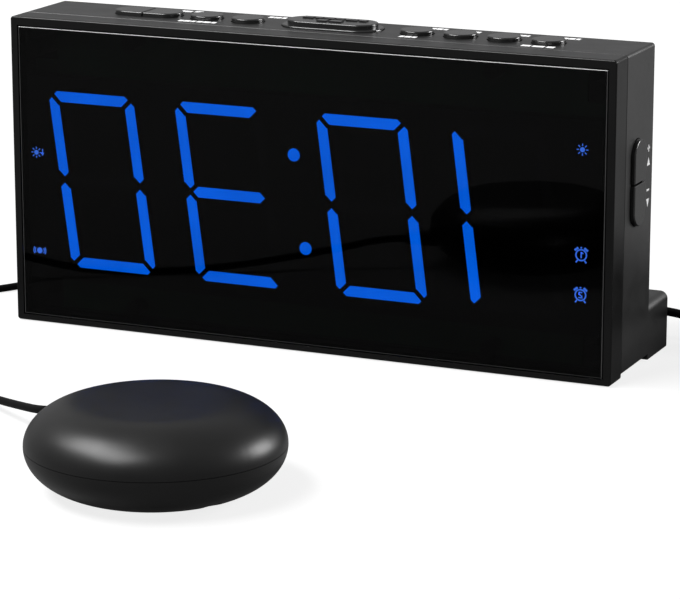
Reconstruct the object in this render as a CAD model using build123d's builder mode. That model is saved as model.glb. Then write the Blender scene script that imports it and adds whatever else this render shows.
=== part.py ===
from build123d import *
import math
import os

# Bed shaker alarm clock: a clock body on a long rear foot, a round bed shaker and two cords.
# Origin: centre of the floor box of clock and shaker. +X to the right seen from the front,
# +Y to the back, +Z up. Millimetres. Depths are measured back from the clock's front face.

# Clock body
CLOCK_W = 200.0
CLOCK_H = 98.0
CASE_D = 34.0
BEZEL_D = 9.5
FOOT_REACH = 20.4
FOOT_H = 17.8
PAD_PROUD = 0.4
MID_RAISE = 1.2
BEZEL_WALL = 1.4
CASE_WALL = 2.0
CASE_EDGE_R = 1.0
FOOT_EDGE_R = 2.5
BEZEL_FRONT_R = 0.5
LIP_T = 1.2
LIP_SIDE = 2.4
LIP_TOP = 2.65
LIP_BOTTOM = 1.9
TONGUE_T = 1.0
TONGUE_L = 2.0
SEAM_CHAMFER = 0.25
FIT = 0.1

# Display
LENS_T = 3.0
LENS_GROOVE = 0.35
LENS_CHAMFER = 0.3
REFLECTOR_FRONT = 3.2
BOARD_T = 1.6
DISPLAY_BOARD_FRONT = 9.6
WINDOW_T = 1.0
DIGIT_SPACE = 14.2
DIGIT_TOP_MARGIN = 23.2
DIGIT_BOTTOM_MARGIN = 18.8
DIGIT_STROKE = 3.3
DIGIT_CORNER = 3.0
DIGIT_GAP = 1.5
DIGIT_PITCH_SHARE = 0.44
DIGIT_LEAN_SHARE = -0.1304
WINDOW_FIT = 0.05
COLON_DOT = 4.0

# Bed shaker
PUCK_R = 35.15
PUCK_H = 24.0
PUCK_SEAM_Z = 12.5
PUCK_TOP_SHOULDER = 16.65
PUCK_BOTTOM_SHOULDER = 18.15
PUCK_WALL = 2.0
PUCK_X = 22.2
PUCK_GAP = 106.3
PUCK_SEAM_GAP = 0.15

# Cords
SHAKER_CORD = 2.4
POWER_CORD = 2.7

# The floor box of clock and shaker is centred on the origin
FOOT_D = CASE_D + FOOT_REACH
SET_D = FOOT_D + PUCK_GAP + 2 * PUCK_R
FRONT_Y = SET_D / 2 - FOOT_D
PUCK_Y = PUCK_R - SET_D / 2
HALF_W = CLOCK_W / 2
MID_BOTTOM = PAD_PROUD + MID_RAISE
INNER_TOP = CLOCK_H - CASE_WALL
INNER_BOTTOM = MID_BOTTOM + CASE_WALL
INNER_HALF_W = HALF_W - CASE_WALL
COVER_FRONT = CASE_D - CASE_WALL
DIGIT_HALF_W = (DIGIT_PITCH_SHARE * HALF_W - DIGIT_SPACE) / 2
DIGIT_HALF_H = (CLOCK_H - DIGIT_TOP_MARGIN - DIGIT_BOTTOM_MARGIN) / 2
DIGIT_MID_Z = DIGIT_BOTTOM_MARGIN + DIGIT_HALF_H

os.makedirs("parts", exist_ok=True)


def y_at(depth):
    """Y of a depth behind the clock's front face."""
    return FRONT_Y + depth


def behind(depth):
    """Plane seen from the front: local x is X, local y is Z."""
    return Plane.XZ.offset(-y_at(depth))


def from_right(x):
    """Plane seen from the right: local x is Y, local y is Z."""
    return Plane.YZ.offset(x)


def save(piece, name):
    """Label a finished piece and write it."""
    piece.part.label = name
    export_step(piece.part, f"parts/{name}.step")


def slab(bottom, top):
    """Centre and height of a span in Z."""
    return (bottom + top) / 2, top - bottom


# Front bezel, with its screw posts and board bosses
SCREW_D = 2.8
SCREW_FIT = 0.05
HEAD_D = 5.5
HEAD_T = 1.8
HEAD_FIT = 0.25
POST_D = 6.0
POST_BACK_GAP = 4.0
POST_INSET = 6.5
POST_DROP = 10.0
POST_BOTTOM_Z = 9.5
POST_WEB_T = 2.0
SMALL_SCREW_D = 2.2
SMALL_HEAD_D = 4.4
SMALL_HEAD_T = 1.4
SMALL_THREAD = 4.0
BOSS_D = 5.0
BOSS_X_SHARE = 0.6
BOSS_DROP = 6.5
BOSS_BOTTOM_Z = 7.0
FOOT_PAD_L = 14.0
FOOT_PAD_T = 1.0
FRONT_PAD_W = 5.0
REAR_PAD_W = 8.0
PAD_INSET = 20.0
FRONT_PAD_DEPTH = 5.5
REAR_PAD_INSET = 7.4
PAD_FIT = 0.1

LIP_HALF_W = HALF_W - LIP_SIDE
LIP_MIN_Z = PAD_PROUD + LIP_BOTTOM
LIP_MAX_Z = CLOCK_H - LIP_TOP
BEZEL_IN_HALF_W = HALF_W - BEZEL_WALL
BEZEL_IN_BOTTOM = PAD_PROUD + BEZEL_WALL
BEZEL_IN_TOP = CLOCK_H - BEZEL_WALL
POST_X = HALF_W - POST_INSET
POST_END = CASE_D - POST_BACK_GAP
PAD_X = HALF_W - PAD_INSET
REAR_PAD_DEPTH = FOOT_D - REAR_PAD_INSET
POSTS = [(side * POST_X, z) for side in (-1, 1) for z in (CLOCK_H - POST_DROP, POST_BOTTOM_Z)]
BOSSES = [
    (side * BOSS_X_SHARE * HALF_W, z) for side in (-1, 1) for z in (CLOCK_H - BOSS_DROP, BOSS_BOTTOM_Z)
]
WEB_END = BEZEL_D - TONGUE_L - FIT
POST_START = LENS_T + FIT
PAD_POCKET = FOOT_PAD_T - PAD_PROUD


def case_rectangle(half_w, bottom, top):
    """Rectangle centred in X between two heights, inside a sketch seen from the front."""
    middle, height = slab(bottom, top)
    with Locations((0, middle)):
        Rectangle(2 * half_w, height)


def pad_sketch(depth, width, bottom, grow):
    """Outline of the two rubber feet at one depth, grown on every side."""
    with BuildSketch(Plane.XY.offset(bottom)) as pads:
        with Locations((-PAD_X, y_at(depth)), (PAD_X, y_at(depth))):
            Rectangle(FOOT_PAD_L + 2 * grow, width + 2 * grow)
    return pads.sketch


with BuildPart() as front_bezel:
    with BuildSketch(behind(0)):
        case_rectangle(HALF_W, PAD_PROUD, CLOCK_H)
    extrude(amount=-BEZEL_D)
    fillet(front_bezel.edges().filter_by(Axis.Y), CASE_EDGE_R)
    fillet(front_bezel.faces().sort_by(Axis.Y)[0].edges(), BEZEL_FRONT_R)
    chamfer(front_bezel.faces().sort_by(Axis.Y)[-1].edges(), SEAM_CHAMFER)
    with BuildSketch(behind(LIP_T)):
        case_rectangle(BEZEL_IN_HALF_W, BEZEL_IN_BOTTOM, BEZEL_IN_TOP)
    extrude(amount=-BEZEL_D, mode=Mode.SUBTRACT)
    with BuildSketch(behind(0)):
        case_rectangle(LIP_HALF_W, LIP_MIN_Z, LIP_MAX_Z)
    extrude(amount=-LIP_T, mode=Mode.SUBTRACT)
    with BuildSketch(behind(POST_START)):
        with Locations(*POSTS):
            Circle(POST_D / 2)
    extrude(amount=POST_START - POST_END)
    with BuildSketch(behind(POST_START)):
        with Locations(*BOSSES):
            Circle(BOSS_D / 2)
    extrude(amount=POST_START - DISPLAY_BOARD_FRONT)
    with BuildSketch(behind(POST_START)):
        for x, z in POSTS:
            reach = BEZEL_IN_HALF_W - POST_X
            with Locations((math.copysign(POST_X + reach / 2, x), z)):
                Rectangle(reach, POST_WEB_T)
        for x, z in BOSSES:
            wall = BEZEL_IN_TOP if z > CLOCK_H / 2 else BEZEL_IN_BOTTOM
            with Locations((x, (z + wall) / 2)):
                Rectangle(POST_WEB_T, abs(wall - z))
    extrude(amount=POST_START - WEB_END)
    with BuildSketch(behind(POST_END)):
        with Locations(*POSTS):
            Circle(SCREW_D / 2 + SCREW_FIT)
    extrude(amount=POST_END - BEZEL_D, mode=Mode.SUBTRACT)
    with BuildSketch(behind(DISPLAY_BOARD_FRONT)):
        with Locations(*BOSSES):
            Circle(SMALL_SCREW_D / 2 + SCREW_FIT)
    extrude(amount=SMALL_THREAD + FIT, mode=Mode.SUBTRACT)
    front_pockets = pad_sketch(FRONT_PAD_DEPTH, FRONT_PAD_W, PAD_PROUD, PAD_FIT)
    extrude(front_pockets, amount=PAD_POCKET, mode=Mode.SUBTRACT)

save(front_bezel, "front_bezel")

# Smoked lens: a pane in the lip's opening and a flange behind the lip
LENS_FLANGE_GAP = 0.2

with BuildPart() as display_lens:
    with BuildSketch(behind(LIP_T)):
        case_rectangle(
            BEZEL_IN_HALF_W - LENS_FLANGE_GAP,
            BEZEL_IN_BOTTOM + LENS_FLANGE_GAP,
            BEZEL_IN_TOP - LENS_FLANGE_GAP,
        )
    extrude(amount=LIP_T - LENS_T)
    with BuildSketch(behind(0)):
        case_rectangle(LIP_HALF_W - LENS_GROOVE, LIP_MIN_Z + LENS_GROOVE, LIP_MAX_Z - LENS_GROOVE)
    extrude(amount=-LIP_T)
    chamfer(display_lens.faces().sort_by(Axis.Y)[0].edges(), LENS_CHAMFER)

save(display_lens, "display_lens")

# Digits: seven windows each, in a leaning outline with cut corners
DIGIT_X_SHARES = (-0.699, -0.2585, 0.2195, 0.6605)
LIT_SEGMENTS = (
    ("top", "upper_left", "upper_right", "lower_left", "lower_right", "bottom"),
    ("top", "upper_left", "middle", "lower_left", "bottom"),
    ("top", "upper_left", "upper_right", "lower_left", "lower_right", "bottom"),
    ("upper_left", "lower_left"),
)
COLON_X_SHARES = (-0.0385, 0.0)
COLON_Z_SHARES = (0.6247, 0.3305)
INDICATOR_SIZES = ((4.6, 3.4), (4.7, 3.1), (5.0, 5.0), (5.0, 5.0), (4.4, 2.4))
INDICATOR_SIDES = (1, -1, 1, 1, -1)
INDICATOR_INSETS = (10.9, 8.0, 10.8, 10.8, 7.8)
INDICATOR_Z_SHARES = (0.7195, 0.5588, 0.397, 0.2736, 0.2348)
COLON_PLACES = [(x * HALF_W, z * CLOCK_H) for x, z in zip(COLON_X_SHARES, COLON_Z_SHARES)]
INDICATOR_PLACES = [
    (side * (HALF_W - inset), share * CLOCK_H)
    for side, inset, share in zip(INDICATOR_SIDES, INDICATOR_INSETS, INDICATOR_Z_SHARES)
]
DIGIT_CENTRES = [share * HALF_W for share in DIGIT_X_SHARES]
STROKE_MID_W = DIGIT_HALF_W - DIGIT_STROKE / 2
STROKE_MID_H = DIGIT_HALF_H - DIGIT_STROKE / 2
SEGMENT_PLACES = {
    "top": (0, STROKE_MID_H),
    "middle": (0, 0),
    "bottom": (0, -STROKE_MID_H),
    "upper_left": (-STROKE_MID_W, STROKE_MID_H / 2),
    "upper_right": (STROKE_MID_W, STROKE_MID_H / 2),
    "lower_left": (-STROKE_MID_W, -STROKE_MID_H / 2),
    "lower_right": (STROKE_MID_W, -STROKE_MID_H / 2),
}


def lean(centre, x, z):
    """Place of a digit's point after its lean."""
    return centre + x + DIGIT_LEAN_SHARE * z, DIGIT_MID_Z + z


def digit_outline(grow):
    """Outline of a digit with its corners cut, grown on every side."""
    w = DIGIT_HALF_W + grow
    h = DIGIT_HALF_H + grow
    c = DIGIT_CORNER
    right = [(w - c, -h), (w, c - h), (w, h - c), (w - c, h)]
    return right + [(-x, -z) for x, z in right]


def digit_sketch(centre, depth, grow):
    """Seven windows of one digit as a sketch at a depth."""
    half_window = DIGIT_HALF_W - DIGIT_STROKE - grow
    half_stroke = DIGIT_STROKE / 2 + grow
    inner_h = DIGIT_HALF_H - DIGIT_STROKE - grow
    gap = DIGIT_GAP - 2 * grow
    cut = 2 * DIGIT_STROKE
    with BuildSketch(behind(depth)) as digit:
        with BuildLine():
            Polyline(*[lean(centre, x, z) for x, z in digit_outline(grow)], close=True)
        make_face()
        for low, high in ((half_stroke, inner_h), (-inner_h, -half_stroke)):
            corners = [(-half_window, low), (half_window, low), (half_window, high), (-half_window, high)]
            with BuildLine():
                Polyline(*[lean(centre, x, z) for x, z in corners], close=True)
            make_face(mode=Mode.SUBTRACT)
        for side in (-1, 1):
            for end in (-1, 1):
                with Locations(lean(centre, side * STROKE_MID_W, end * STROKE_MID_H)):
                    Rectangle(cut, gap, rotation=45 * side * end, mode=Mode.SUBTRACT)
            with Locations(lean(centre, side * STROKE_MID_W, 0)):
                Rectangle(cut, gap, rotation=45, mode=Mode.SUBTRACT)
                Rectangle(cut, gap, rotation=-45, mode=Mode.SUBTRACT)
            with Locations(lean(centre, side * DIGIT_HALF_W, 0)):
                Rectangle(DIGIT_STROKE, DIGIT_STROKE / 2, mode=Mode.SUBTRACT)
    return digit


def segment_name(centre, face):
    """Name of the segment whose place is nearest to a window."""
    middle = face.center()

    def miss(name):
        x, z = lean(centre, *SEGMENT_PLACES[name])
        return math.hypot(middle.X - x, middle.Z - z)

    return min(SEGMENT_PLACES, key=miss)


def windows(lit):
    """Diffusers of all lit or all unlit segments, with the colon dots among the lit ones."""
    with BuildPart() as block:
        for centre, names in zip(DIGIT_CENTRES, LIT_SEGMENTS):
            digit = digit_sketch(centre, REFLECTOR_FRONT, 0)
            chosen = [face for face in digit.sketch.faces() if (segment_name(centre, face) in names) == lit]
            extrude(chosen, amount=-WINDOW_T, dir=(0, -1, 0))
        if lit:
            with BuildSketch(behind(REFLECTOR_FRONT)):
                with Locations(*COLON_PLACES):
                    Circle(COLON_DOT / 2)
            extrude(amount=-WINDOW_T)
    return block


lit_segments = windows(True)
unlit_segments = windows(False)
save(lit_segments, "lit_segments")
save(unlit_segments, "unlit_segments")


def indicator_sketch(depth, grow):
    """Small windows beside the digits as a sketch at a depth."""
    with BuildSketch(behind(depth)) as marks:
        for place, (width, height) in zip(INDICATOR_PLACES, INDICATOR_SIZES):
            with Locations(place):
                Rectangle(width + 2 * grow, height + 2 * grow)
    return marks


with BuildPart() as indicator_windows:
    with BuildSketch(behind(REFLECTOR_FRONT)):
        add(indicator_sketch(REFLECTOR_FRONT, 0).sketch_local)
    extrude(amount=-WINDOW_T)

save(indicator_windows, "indicator_windows")

# Light reflector: one block with a cell behind each window
REFLECTOR_INSET = 5.0
REFLECTOR_MARGIN = 4.4
REFLECTOR_HALF_W = HALF_W - REFLECTOR_INSET
REFLECTOR_BOTTOM = DIGIT_BOTTOM_MARGIN - REFLECTOR_MARGIN
REFLECTOR_TOP = CLOCK_H - DIGIT_TOP_MARGIN + REFLECTOR_MARGIN

with BuildPart() as light_reflector:
    with BuildSketch(behind(REFLECTOR_FRONT)):
        case_rectangle(REFLECTOR_HALF_W, REFLECTOR_BOTTOM, REFLECTOR_TOP)
        for centre in DIGIT_CENTRES:
            add(digit_sketch(centre, REFLECTOR_FRONT, WINDOW_FIT).sketch_local, mode=Mode.SUBTRACT)
        add(indicator_sketch(REFLECTOR_FRONT, WINDOW_FIT).sketch_local, mode=Mode.SUBTRACT)
        with Locations(*COLON_PLACES):
            Circle(COLON_DOT / 2 + WINDOW_FIT, mode=Mode.SUBTRACT)
    extrude(amount=REFLECTOR_FRONT - DISPLAY_BOARD_FRONT)

save(light_reflector, "light_reflector")

# Display board: a wide band with a taller middle, on the bezel's bosses
DISPLAY_BOARD_BACK = DISPLAY_BOARD_FRONT + BOARD_T
DISPLAY_BOARD_INSET = 12.0
BAND_INSET = 4.0
BOARD_EDGE = 0.8
BAND_BOTTOM = 14.0
BAND_DROP = 14.5
TONGUE_BOTTOM = BEZEL_IN_BOTTOM + FIT + TONGUE_T
TONGUE_TOP = BEZEL_IN_TOP - FIT - TONGUE_T
CHIP_L = 3.0
CHIP_W = 1.6
CHIP_T = 0.8

with BuildPart() as display_board:
    with BuildSketch(behind(DISPLAY_BOARD_FRONT)):
        case_rectangle(HALF_W - DISPLAY_BOARD_INSET, TONGUE_BOTTOM + BOARD_EDGE, TONGUE_TOP - BOARD_EDGE)
        case_rectangle(HALF_W - BAND_INSET, BAND_BOTTOM, CLOCK_H - BAND_DROP)
        with Locations(*BOSSES):
            Circle(SMALL_SCREW_D / 2 + SCREW_FIT, mode=Mode.SUBTRACT)
    extrude(amount=-BOARD_T)

save(display_board, "display_board")

with BuildPart() as segment_leds:
    with BuildSketch(behind(DISPLAY_BOARD_FRONT)):
        for centre in DIGIT_CENTRES:
            for name, (x, z) in SEGMENT_PLACES.items():
                with Locations(lean(centre, x, z)):
                    if "_" in name:
                        Rectangle(CHIP_W, CHIP_L)
                    else:
                        Rectangle(CHIP_L, CHIP_W)
        with Locations(*COLON_PLACES, *INDICATOR_PLACES):
            Rectangle(CHIP_L / 2, CHIP_W)
    extrude(amount=CHIP_T)

save(segment_leds, "segment_leds")

# Keys: cap, flange under the wall, stem, and the switch plunger that it presses
KEY_PROUD = 1.3
KEY_SPACE = 3.9
KEY_EDGE_R = 0.4
KEY_GAP = 0.25
KEY_REST_GAP = 0.1
FLANGE_GROW = 1.1
FLANGE_T = 0.8
STEM_D = 3.0
PLUNGER_D = 3.4
PLUNGER_L = 2.5
PLUNGER_START = 2.0
PLUNGER_GAP = 0.05
SWITCH_W = 6.0
SWITCH_H = 3.5
SWITCH_FLOOR = 1.0
BOARD_DROP = 12.0
KEY_BOARD_FRONT_GAP = 1.1
KEY_BOARD_BACK_GAP = 2.7
PILL_SPACE = 3.75
PILL_GAP = 0.5
PILL_X_SHARE = -0.618
KEY_PITCH_SHARE = 0.141
ROUND_KEY_X_SHARES = (-0.417, -0.276, 0.290, 0.431, 0.572, 0.713)
SNOOZE_BACK = 0.4
SNOOZE_X_SHARE = 0.009
SNOOZE_L = 32.7
SNOOZE_MARGIN = 5.5
SNOOZE_STEP = 0.6
SNOOZE_PROUD = 2.05
SNOOZE_INSET = 1.7
SNOOZE_BAR_T = 0.35
SNOOZE_BAR_W = 2.4
SNOOZE_BAR_GAP = 0.9
SNOOZE_ROW_REACH = 2.1
SNOOZE_FRONT_SHARES = (0.098, 0.122)
SNOOZE_BACK_SHARES = (0.104, 0.061, 0.092, 0.073, 0.11, 0.067)
SNOOZE_STEM_X = 9.0
VOLUME_L = 26.3
VOLUME_W = 10.1
VOLUME_PROUD = 1.35
VOLUME_FORWARD = 1.1
VOLUME_DROP = 39.65

KEY_BOARD_FRONT = DISPLAY_BOARD_BACK + KEY_BOARD_FRONT_GAP
KEY_BOARD_BACK = COVER_FRONT - KEY_BOARD_BACK_GAP
KEY_BOARD_D = KEY_BOARD_BACK - KEY_BOARD_FRONT
TOP_KEY_DEPTH = (KEY_BOARD_FRONT + KEY_BOARD_BACK) / 2
KEY_D = KEY_PITCH_SHARE * HALF_W - KEY_SPACE
PILL_REACH = (ROUND_KEY_X_SHARES[0] - PILL_X_SHARE) * HALF_W - KEY_D / 2 - PILL_SPACE
PILL_L = 2 * PILL_REACH
SNOOZE_DEPTH = TOP_KEY_DEPTH + SNOOZE_BACK
SNOOZE_W = COVER_FRONT - BEZEL_D - TONGUE_L - SNOOZE_MARGIN
VOLUME_DEPTH = TOP_KEY_DEPTH - VOLUME_FORWARD
VOLUME_Z = CLOCK_H - VOLUME_DROP
ROUND_KEYS = [(share * HALF_W, y_at(TOP_KEY_DEPTH)) for share in ROUND_KEY_X_SHARES]
PILL_PLACE = (PILL_X_SHARE * HALF_W, y_at(TOP_KEY_DEPTH))
SNOOZE_PLACE = (SNOOZE_X_SHARE * HALF_W, y_at(SNOOZE_DEPTH))
VOLUME_PLACE = (y_at(VOLUME_DEPTH), VOLUME_Z)
PILL_STEMS = [(PILL_PLACE[0] + side * PILL_L / 4, PILL_PLACE[1]) for side in (-1, 1)]
SNOOZE_STEMS = [(SNOOZE_PLACE[0] + side * SNOOZE_STEM_X, SNOOZE_PLACE[1]) for side in (-1, 1)]
VOLUME_STEMS = [(VOLUME_PLACE[0], VOLUME_PLACE[1] + side * VOLUME_L / 4) for side in (-1, 1)]


def slot_sketch(plane, place, length, width, turn, grow):
    """Rounded-end outline at a place of a plane."""
    with BuildSketch(plane) as slot:
        with Locations(place):
            SlotOverall(length + 2 * grow, width + 2 * grow, rotation=turn)
    return slot.sketch


def half_slot_sketch(plane, place, length, width, turn, grow, side):
    """One half of a rounded-end outline, split across its middle."""
    reach = PILL_GAP / 2 + length / 2
    centre = (place[0], place[1] + side * reach) if turn else (place[0] + side * reach, place[1])
    with BuildSketch(plane) as half:
        with Locations(place):
            SlotOverall(length + 2 * grow, width + 2 * grow, rotation=turn)
        with Locations(centre):
            Rectangle(length, length + 2 * grow, rotation=turn, mode=Mode.INTERSECT)
    return half.sketch


def round_sketch(plane, place, grow):
    """Round outline of a key."""
    with BuildSketch(plane) as disc:
        with Locations(place):
            Circle(KEY_D / 2 + grow)
    return disc.sketch


def key(outline, plane_at, surface, proud, stems):
    """A key in its wall: the outline is a function of a plane and a growth."""
    flange_top = surface - CASE_WALL - KEY_REST_GAP
    plunger_bottom = surface - BOARD_DROP + PLUNGER_START
    stem_bottom = plunger_bottom + PLUNGER_L + PLUNGER_GAP
    with BuildPart() as cap:
        extrude(outline(plane_at(flange_top - FLANGE_T), FLANGE_GROW), amount=FLANGE_T)
        extrude(outline(plane_at(flange_top), 0), amount=surface + proud - flange_top)
        rim = cap.faces().sort_by(Axis(origin=(0, 0, 0), direction=plane_at(0).z_dir))[-1]
        fillet(rim.edges(), KEY_EDGE_R)
        with BuildSketch(plane_at(stem_bottom)):
            with Locations(*stems):
                Circle(STEM_D / 2)
        extrude(amount=flange_top - FLANGE_T - stem_bottom)
        with BuildSketch(plane_at(plunger_bottom)):
            with Locations(*stems):
                Circle(PLUNGER_D / 2)
        extrude(amount=PLUNGER_L)
    return cap


def top_at(height):
    """Plane of the clock's top keys: local x is X, local y is Y."""
    return Plane.XY.offset(height)


def pill_half(side):
    """Half of the pill key at the left of the top."""
    def outline(plane, grow):
        return half_slot_sketch(plane, PILL_PLACE, PILL_L, KEY_D, 0, grow, side)

    return key(outline, top_at, CLOCK_H, KEY_PROUD, [PILL_STEMS[(side + 1) // 2]])


def volume_half(side):
    """Half of the volume key on the right side."""
    def outline(plane, grow):
        return half_slot_sketch(plane, VOLUME_PLACE, VOLUME_L, VOLUME_W, 90, grow, side)

    return key(outline, from_right, HALF_W, VOLUME_PROUD, [VOLUME_STEMS[(side + 1) // 2]])


def round_key(place):
    """Round key on the top."""
    def outline(plane, grow):
        return round_sketch(plane, place, grow)

    return key(outline, top_at, CLOCK_H, KEY_PROUD, [place])


def snooze_outline(plane, grow):
    """Outline of the snooze bar."""
    return slot_sketch(plane, SNOOZE_PLACE, SNOOZE_L, SNOOZE_W, 0, grow)


pill_key_left = pill_half(-1)
pill_key_right = pill_half(1)
volume_down_key = volume_half(-1)
volume_up_key = volume_half(1)
save(pill_key_left, "pill_key_left")
save(pill_key_right, "pill_key_right")
save(volume_down_key, "volume_down_key")
save(volume_up_key, "volume_up_key")
for number, place in enumerate(ROUND_KEYS, start=1):
    save(round_key(place), f"round_key_{number}")

# Snooze bar: a wide lower tier like the other keys, an upper tier on it and two rows of raised bars
snooze_base = key(snooze_outline, top_at, CLOCK_H, SNOOZE_STEP, SNOOZE_STEMS)

with BuildPart() as snooze_bar:
    add(snooze_base.part)
    upper_tier = snooze_outline(top_at(CLOCK_H + SNOOZE_STEP), -SNOOZE_INSET)
    extrude(upper_tier, amount=SNOOZE_PROUD - SNOOZE_STEP)
    fillet(snooze_bar.faces().sort_by(Axis.Z)[-1].edges(), KEY_EDGE_R)
    with BuildSketch(top_at(CLOCK_H + SNOOZE_PROUD)):
        for side, shares in ((-1, SNOOZE_FRONT_SHARES), (1, SNOOZE_BACK_SHARES)):
            row_y = SNOOZE_PLACE[1] + side * SNOOZE_ROW_REACH
            row_l = sum(shares) * SNOOZE_L + SNOOZE_BAR_GAP * (len(shares) - 1)
            start = SNOOZE_PLACE[0] - row_l / 2
            for share in shares:
                bar_l = share * SNOOZE_L
                with Locations((start + bar_l / 2, row_y)):
                    Rectangle(bar_l, SNOOZE_BAR_W)
                start += bar_l + SNOOZE_BAR_GAP
    extrude(amount=SNOOZE_BAR_T)

save(snooze_bar, "snooze_bar")

# Key board and volume board on posts of the case, with a switch under each stem
KEY_BOARD_INSET = 10.0
KEY_BOARD_W = CLOCK_W - 2 * KEY_BOARD_INSET
KEY_POST_D = 4.0
KEY_POST_X_SHARES = (-0.82, -0.19, 0.206, 0.82)
VOLUME_BOARD_H = 38.4
VOLUME_POST_REACH = 16.6
KEY_POSTS = [(share * HALF_W, y_at(TOP_KEY_DEPTH)) for share in KEY_POST_X_SHARES]
VOLUME_POSTS = [(VOLUME_PLACE[0], VOLUME_Z + side * VOLUME_POST_REACH) for side in (-1, 1)]
KEY_BOARD_TOP = CLOCK_H - BOARD_DROP
VOLUME_BOARD_OUT = HALF_W - BOARD_DROP
TOP_STEMS = [*PILL_STEMS, *ROUND_KEYS, *SNOOZE_STEMS]


def small_board(plane, place, width, height, screws):
    """Printed board under a plane, with its screw holes."""
    with BuildPart() as board:
        with BuildSketch(plane):
            with Locations(place):
                Rectangle(width, height)
            with Locations(*screws):
                Circle(SMALL_SCREW_D / 2 + SCREW_FIT, mode=Mode.SUBTRACT)
        extrude(amount=-BOARD_T)
    return board


key_board = small_board(
    top_at(KEY_BOARD_TOP), (0, y_at(TOP_KEY_DEPTH)), KEY_BOARD_W, KEY_BOARD_D, KEY_POSTS
)
volume_board = small_board(
    from_right(VOLUME_BOARD_OUT), VOLUME_PLACE, KEY_BOARD_D, VOLUME_BOARD_H, VOLUME_POSTS
)
save(key_board, "key_board")
save(volume_board, "volume_board")

# Square switches, each with the bore of its plunger
with BuildPart() as key_switches:
    for plane_at, face, places in (
        (top_at, KEY_BOARD_TOP, TOP_STEMS),
        (from_right, VOLUME_BOARD_OUT, VOLUME_STEMS),
    ):
        with BuildSketch(plane_at(face)):
            with Locations(*places):
                Rectangle(SWITCH_W, SWITCH_W)
        extrude(amount=SWITCH_H)
        with BuildSketch(plane_at(face + SWITCH_FLOOR)):
            with Locations(*places):
                Circle(PLUNGER_D / 2 + PLUNGER_GAP)
        extrude(amount=SWITCH_H, mode=Mode.SUBTRACT)

save(key_switches, "key_switches")

# Middle case: a four-walled frame with a tongue into the bezel, key openings and board posts
TONGUE_HALF_W = BEZEL_IN_HALF_W - FIT
TONGUE_START = BEZEL_D - TONGUE_L
TONGUE_ROOT = BEZEL_D + TONGUE_L


KEY_OPENINGS = [
    slot_sketch(top_at(CLOCK_H), PILL_PLACE, PILL_L, KEY_D, 0, KEY_GAP),
    slot_sketch(top_at(CLOCK_H), SNOOZE_PLACE, SNOOZE_L, SNOOZE_W, 0, KEY_GAP),
    slot_sketch(from_right(HALF_W), VOLUME_PLACE, VOLUME_L, VOLUME_W, 90, KEY_GAP),
    *[round_sketch(top_at(CLOCK_H), place, KEY_GAP) for place in ROUND_KEYS],
]

with BuildPart() as mid_case:
    with BuildSketch(behind(BEZEL_D)):
        case_rectangle(HALF_W, MID_BOTTOM, CLOCK_H)
    extrude(amount=BEZEL_D - CASE_D)
    fillet(mid_case.edges().filter_by(Axis.Y), CASE_EDGE_R)
    chamfer(mid_case.faces().sort_by(Axis.Y)[0].edges(), SEAM_CHAMFER)
    with BuildSketch(behind(TONGUE_START)):
        case_rectangle(TONGUE_HALF_W, BEZEL_IN_BOTTOM + FIT, BEZEL_IN_TOP - FIT)
    extrude(amount=TONGUE_START - TONGUE_ROOT)
    with BuildSketch(behind(TONGUE_START)):
        case_rectangle(TONGUE_HALF_W - TONGUE_T, TONGUE_BOTTOM, TONGUE_TOP)
    extrude(amount=TONGUE_START - BEZEL_D, mode=Mode.SUBTRACT)
    with BuildSketch(behind(BEZEL_D)):
        case_rectangle(TONGUE_HALF_W - TONGUE_T, INNER_BOTTOM, TONGUE_TOP)
    extrude(amount=BEZEL_D - TONGUE_ROOT, mode=Mode.SUBTRACT)
    with BuildSketch(behind(TONGUE_ROOT)):
        case_rectangle(INNER_HALF_W, INNER_BOTTOM, INNER_TOP)
    extrude(amount=TONGUE_ROOT - CASE_D, mode=Mode.SUBTRACT)
    for opening in KEY_OPENINGS:
        extrude(opening, amount=-CASE_WALL, mode=Mode.SUBTRACT)
    with BuildSketch(top_at(KEY_BOARD_TOP)):
        with Locations(*KEY_POSTS):
            Circle(KEY_POST_D / 2)
            Circle(SMALL_SCREW_D / 2 + SCREW_FIT, mode=Mode.SUBTRACT)
    extrude(amount=INNER_TOP - KEY_BOARD_TOP)
    with BuildSketch(from_right(VOLUME_BOARD_OUT)):
        with Locations(*VOLUME_POSTS):
            Circle(KEY_POST_D / 2)
            Circle(SMALL_SCREW_D / 2 + SCREW_FIT, mode=Mode.SUBTRACT)
    extrude(amount=INNER_HALF_W - VOLUME_BOARD_OUT)

save(mid_case, "mid_case")

# Rear cover: the back wall inside the case, the long foot, screw sleeves, grille and cell tray
HEAD_SINK = 0.2
SLEEVE_D = 8.0
SLEEVE_HOLE_D = 3.4
TUNNEL_INSET = 12.0
TUNNEL_SILL = 2.0
FOOT_FRONT_WALL = 2.0
SPEAKER_X_SHARE = -0.62
SPEAKER_DROP = 40.0
SPEAKER_R = 15.0
SPEAKER_RIB_T = 1.5
SPEAKER_RIB_L = 2.5
SPEAKER_FIT = 0.2
GRILLE_HOLE_D = 1.8
GRILLE_STEP = 3.2
GRILLE_RINGS = 3
CELL_R = 10.0
CELL_T = 3.2
CELL_FIT = 0.3
CELL_RISE = 13.0
TRAY_REACH = 5.2
TRAY_WALL = 1.4
TRAY_HALF_W = 17.0
DOOR_HALF_W = 15.0
DOOR_H = 34.0
DOOR_SHIFT = 7.9
DOOR_T = 1.5
DOOR_FIT = 0.2
DOOR_SCREW_DROP = 5.0
DOOR_SEAT_T = 0.6
TRAY_EDGE = 2.0
CLIP_W = 4.0
CLIP_T = 0.3
CLIP_FIT = 0.2
MAIN_BOARD_FORWARD = 3.6
MAIN_BOARD_LEFT = -30.0
MAIN_BOARD_INSET = 20.0
MAIN_BOARD_BOTTOM = 26.0
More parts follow.
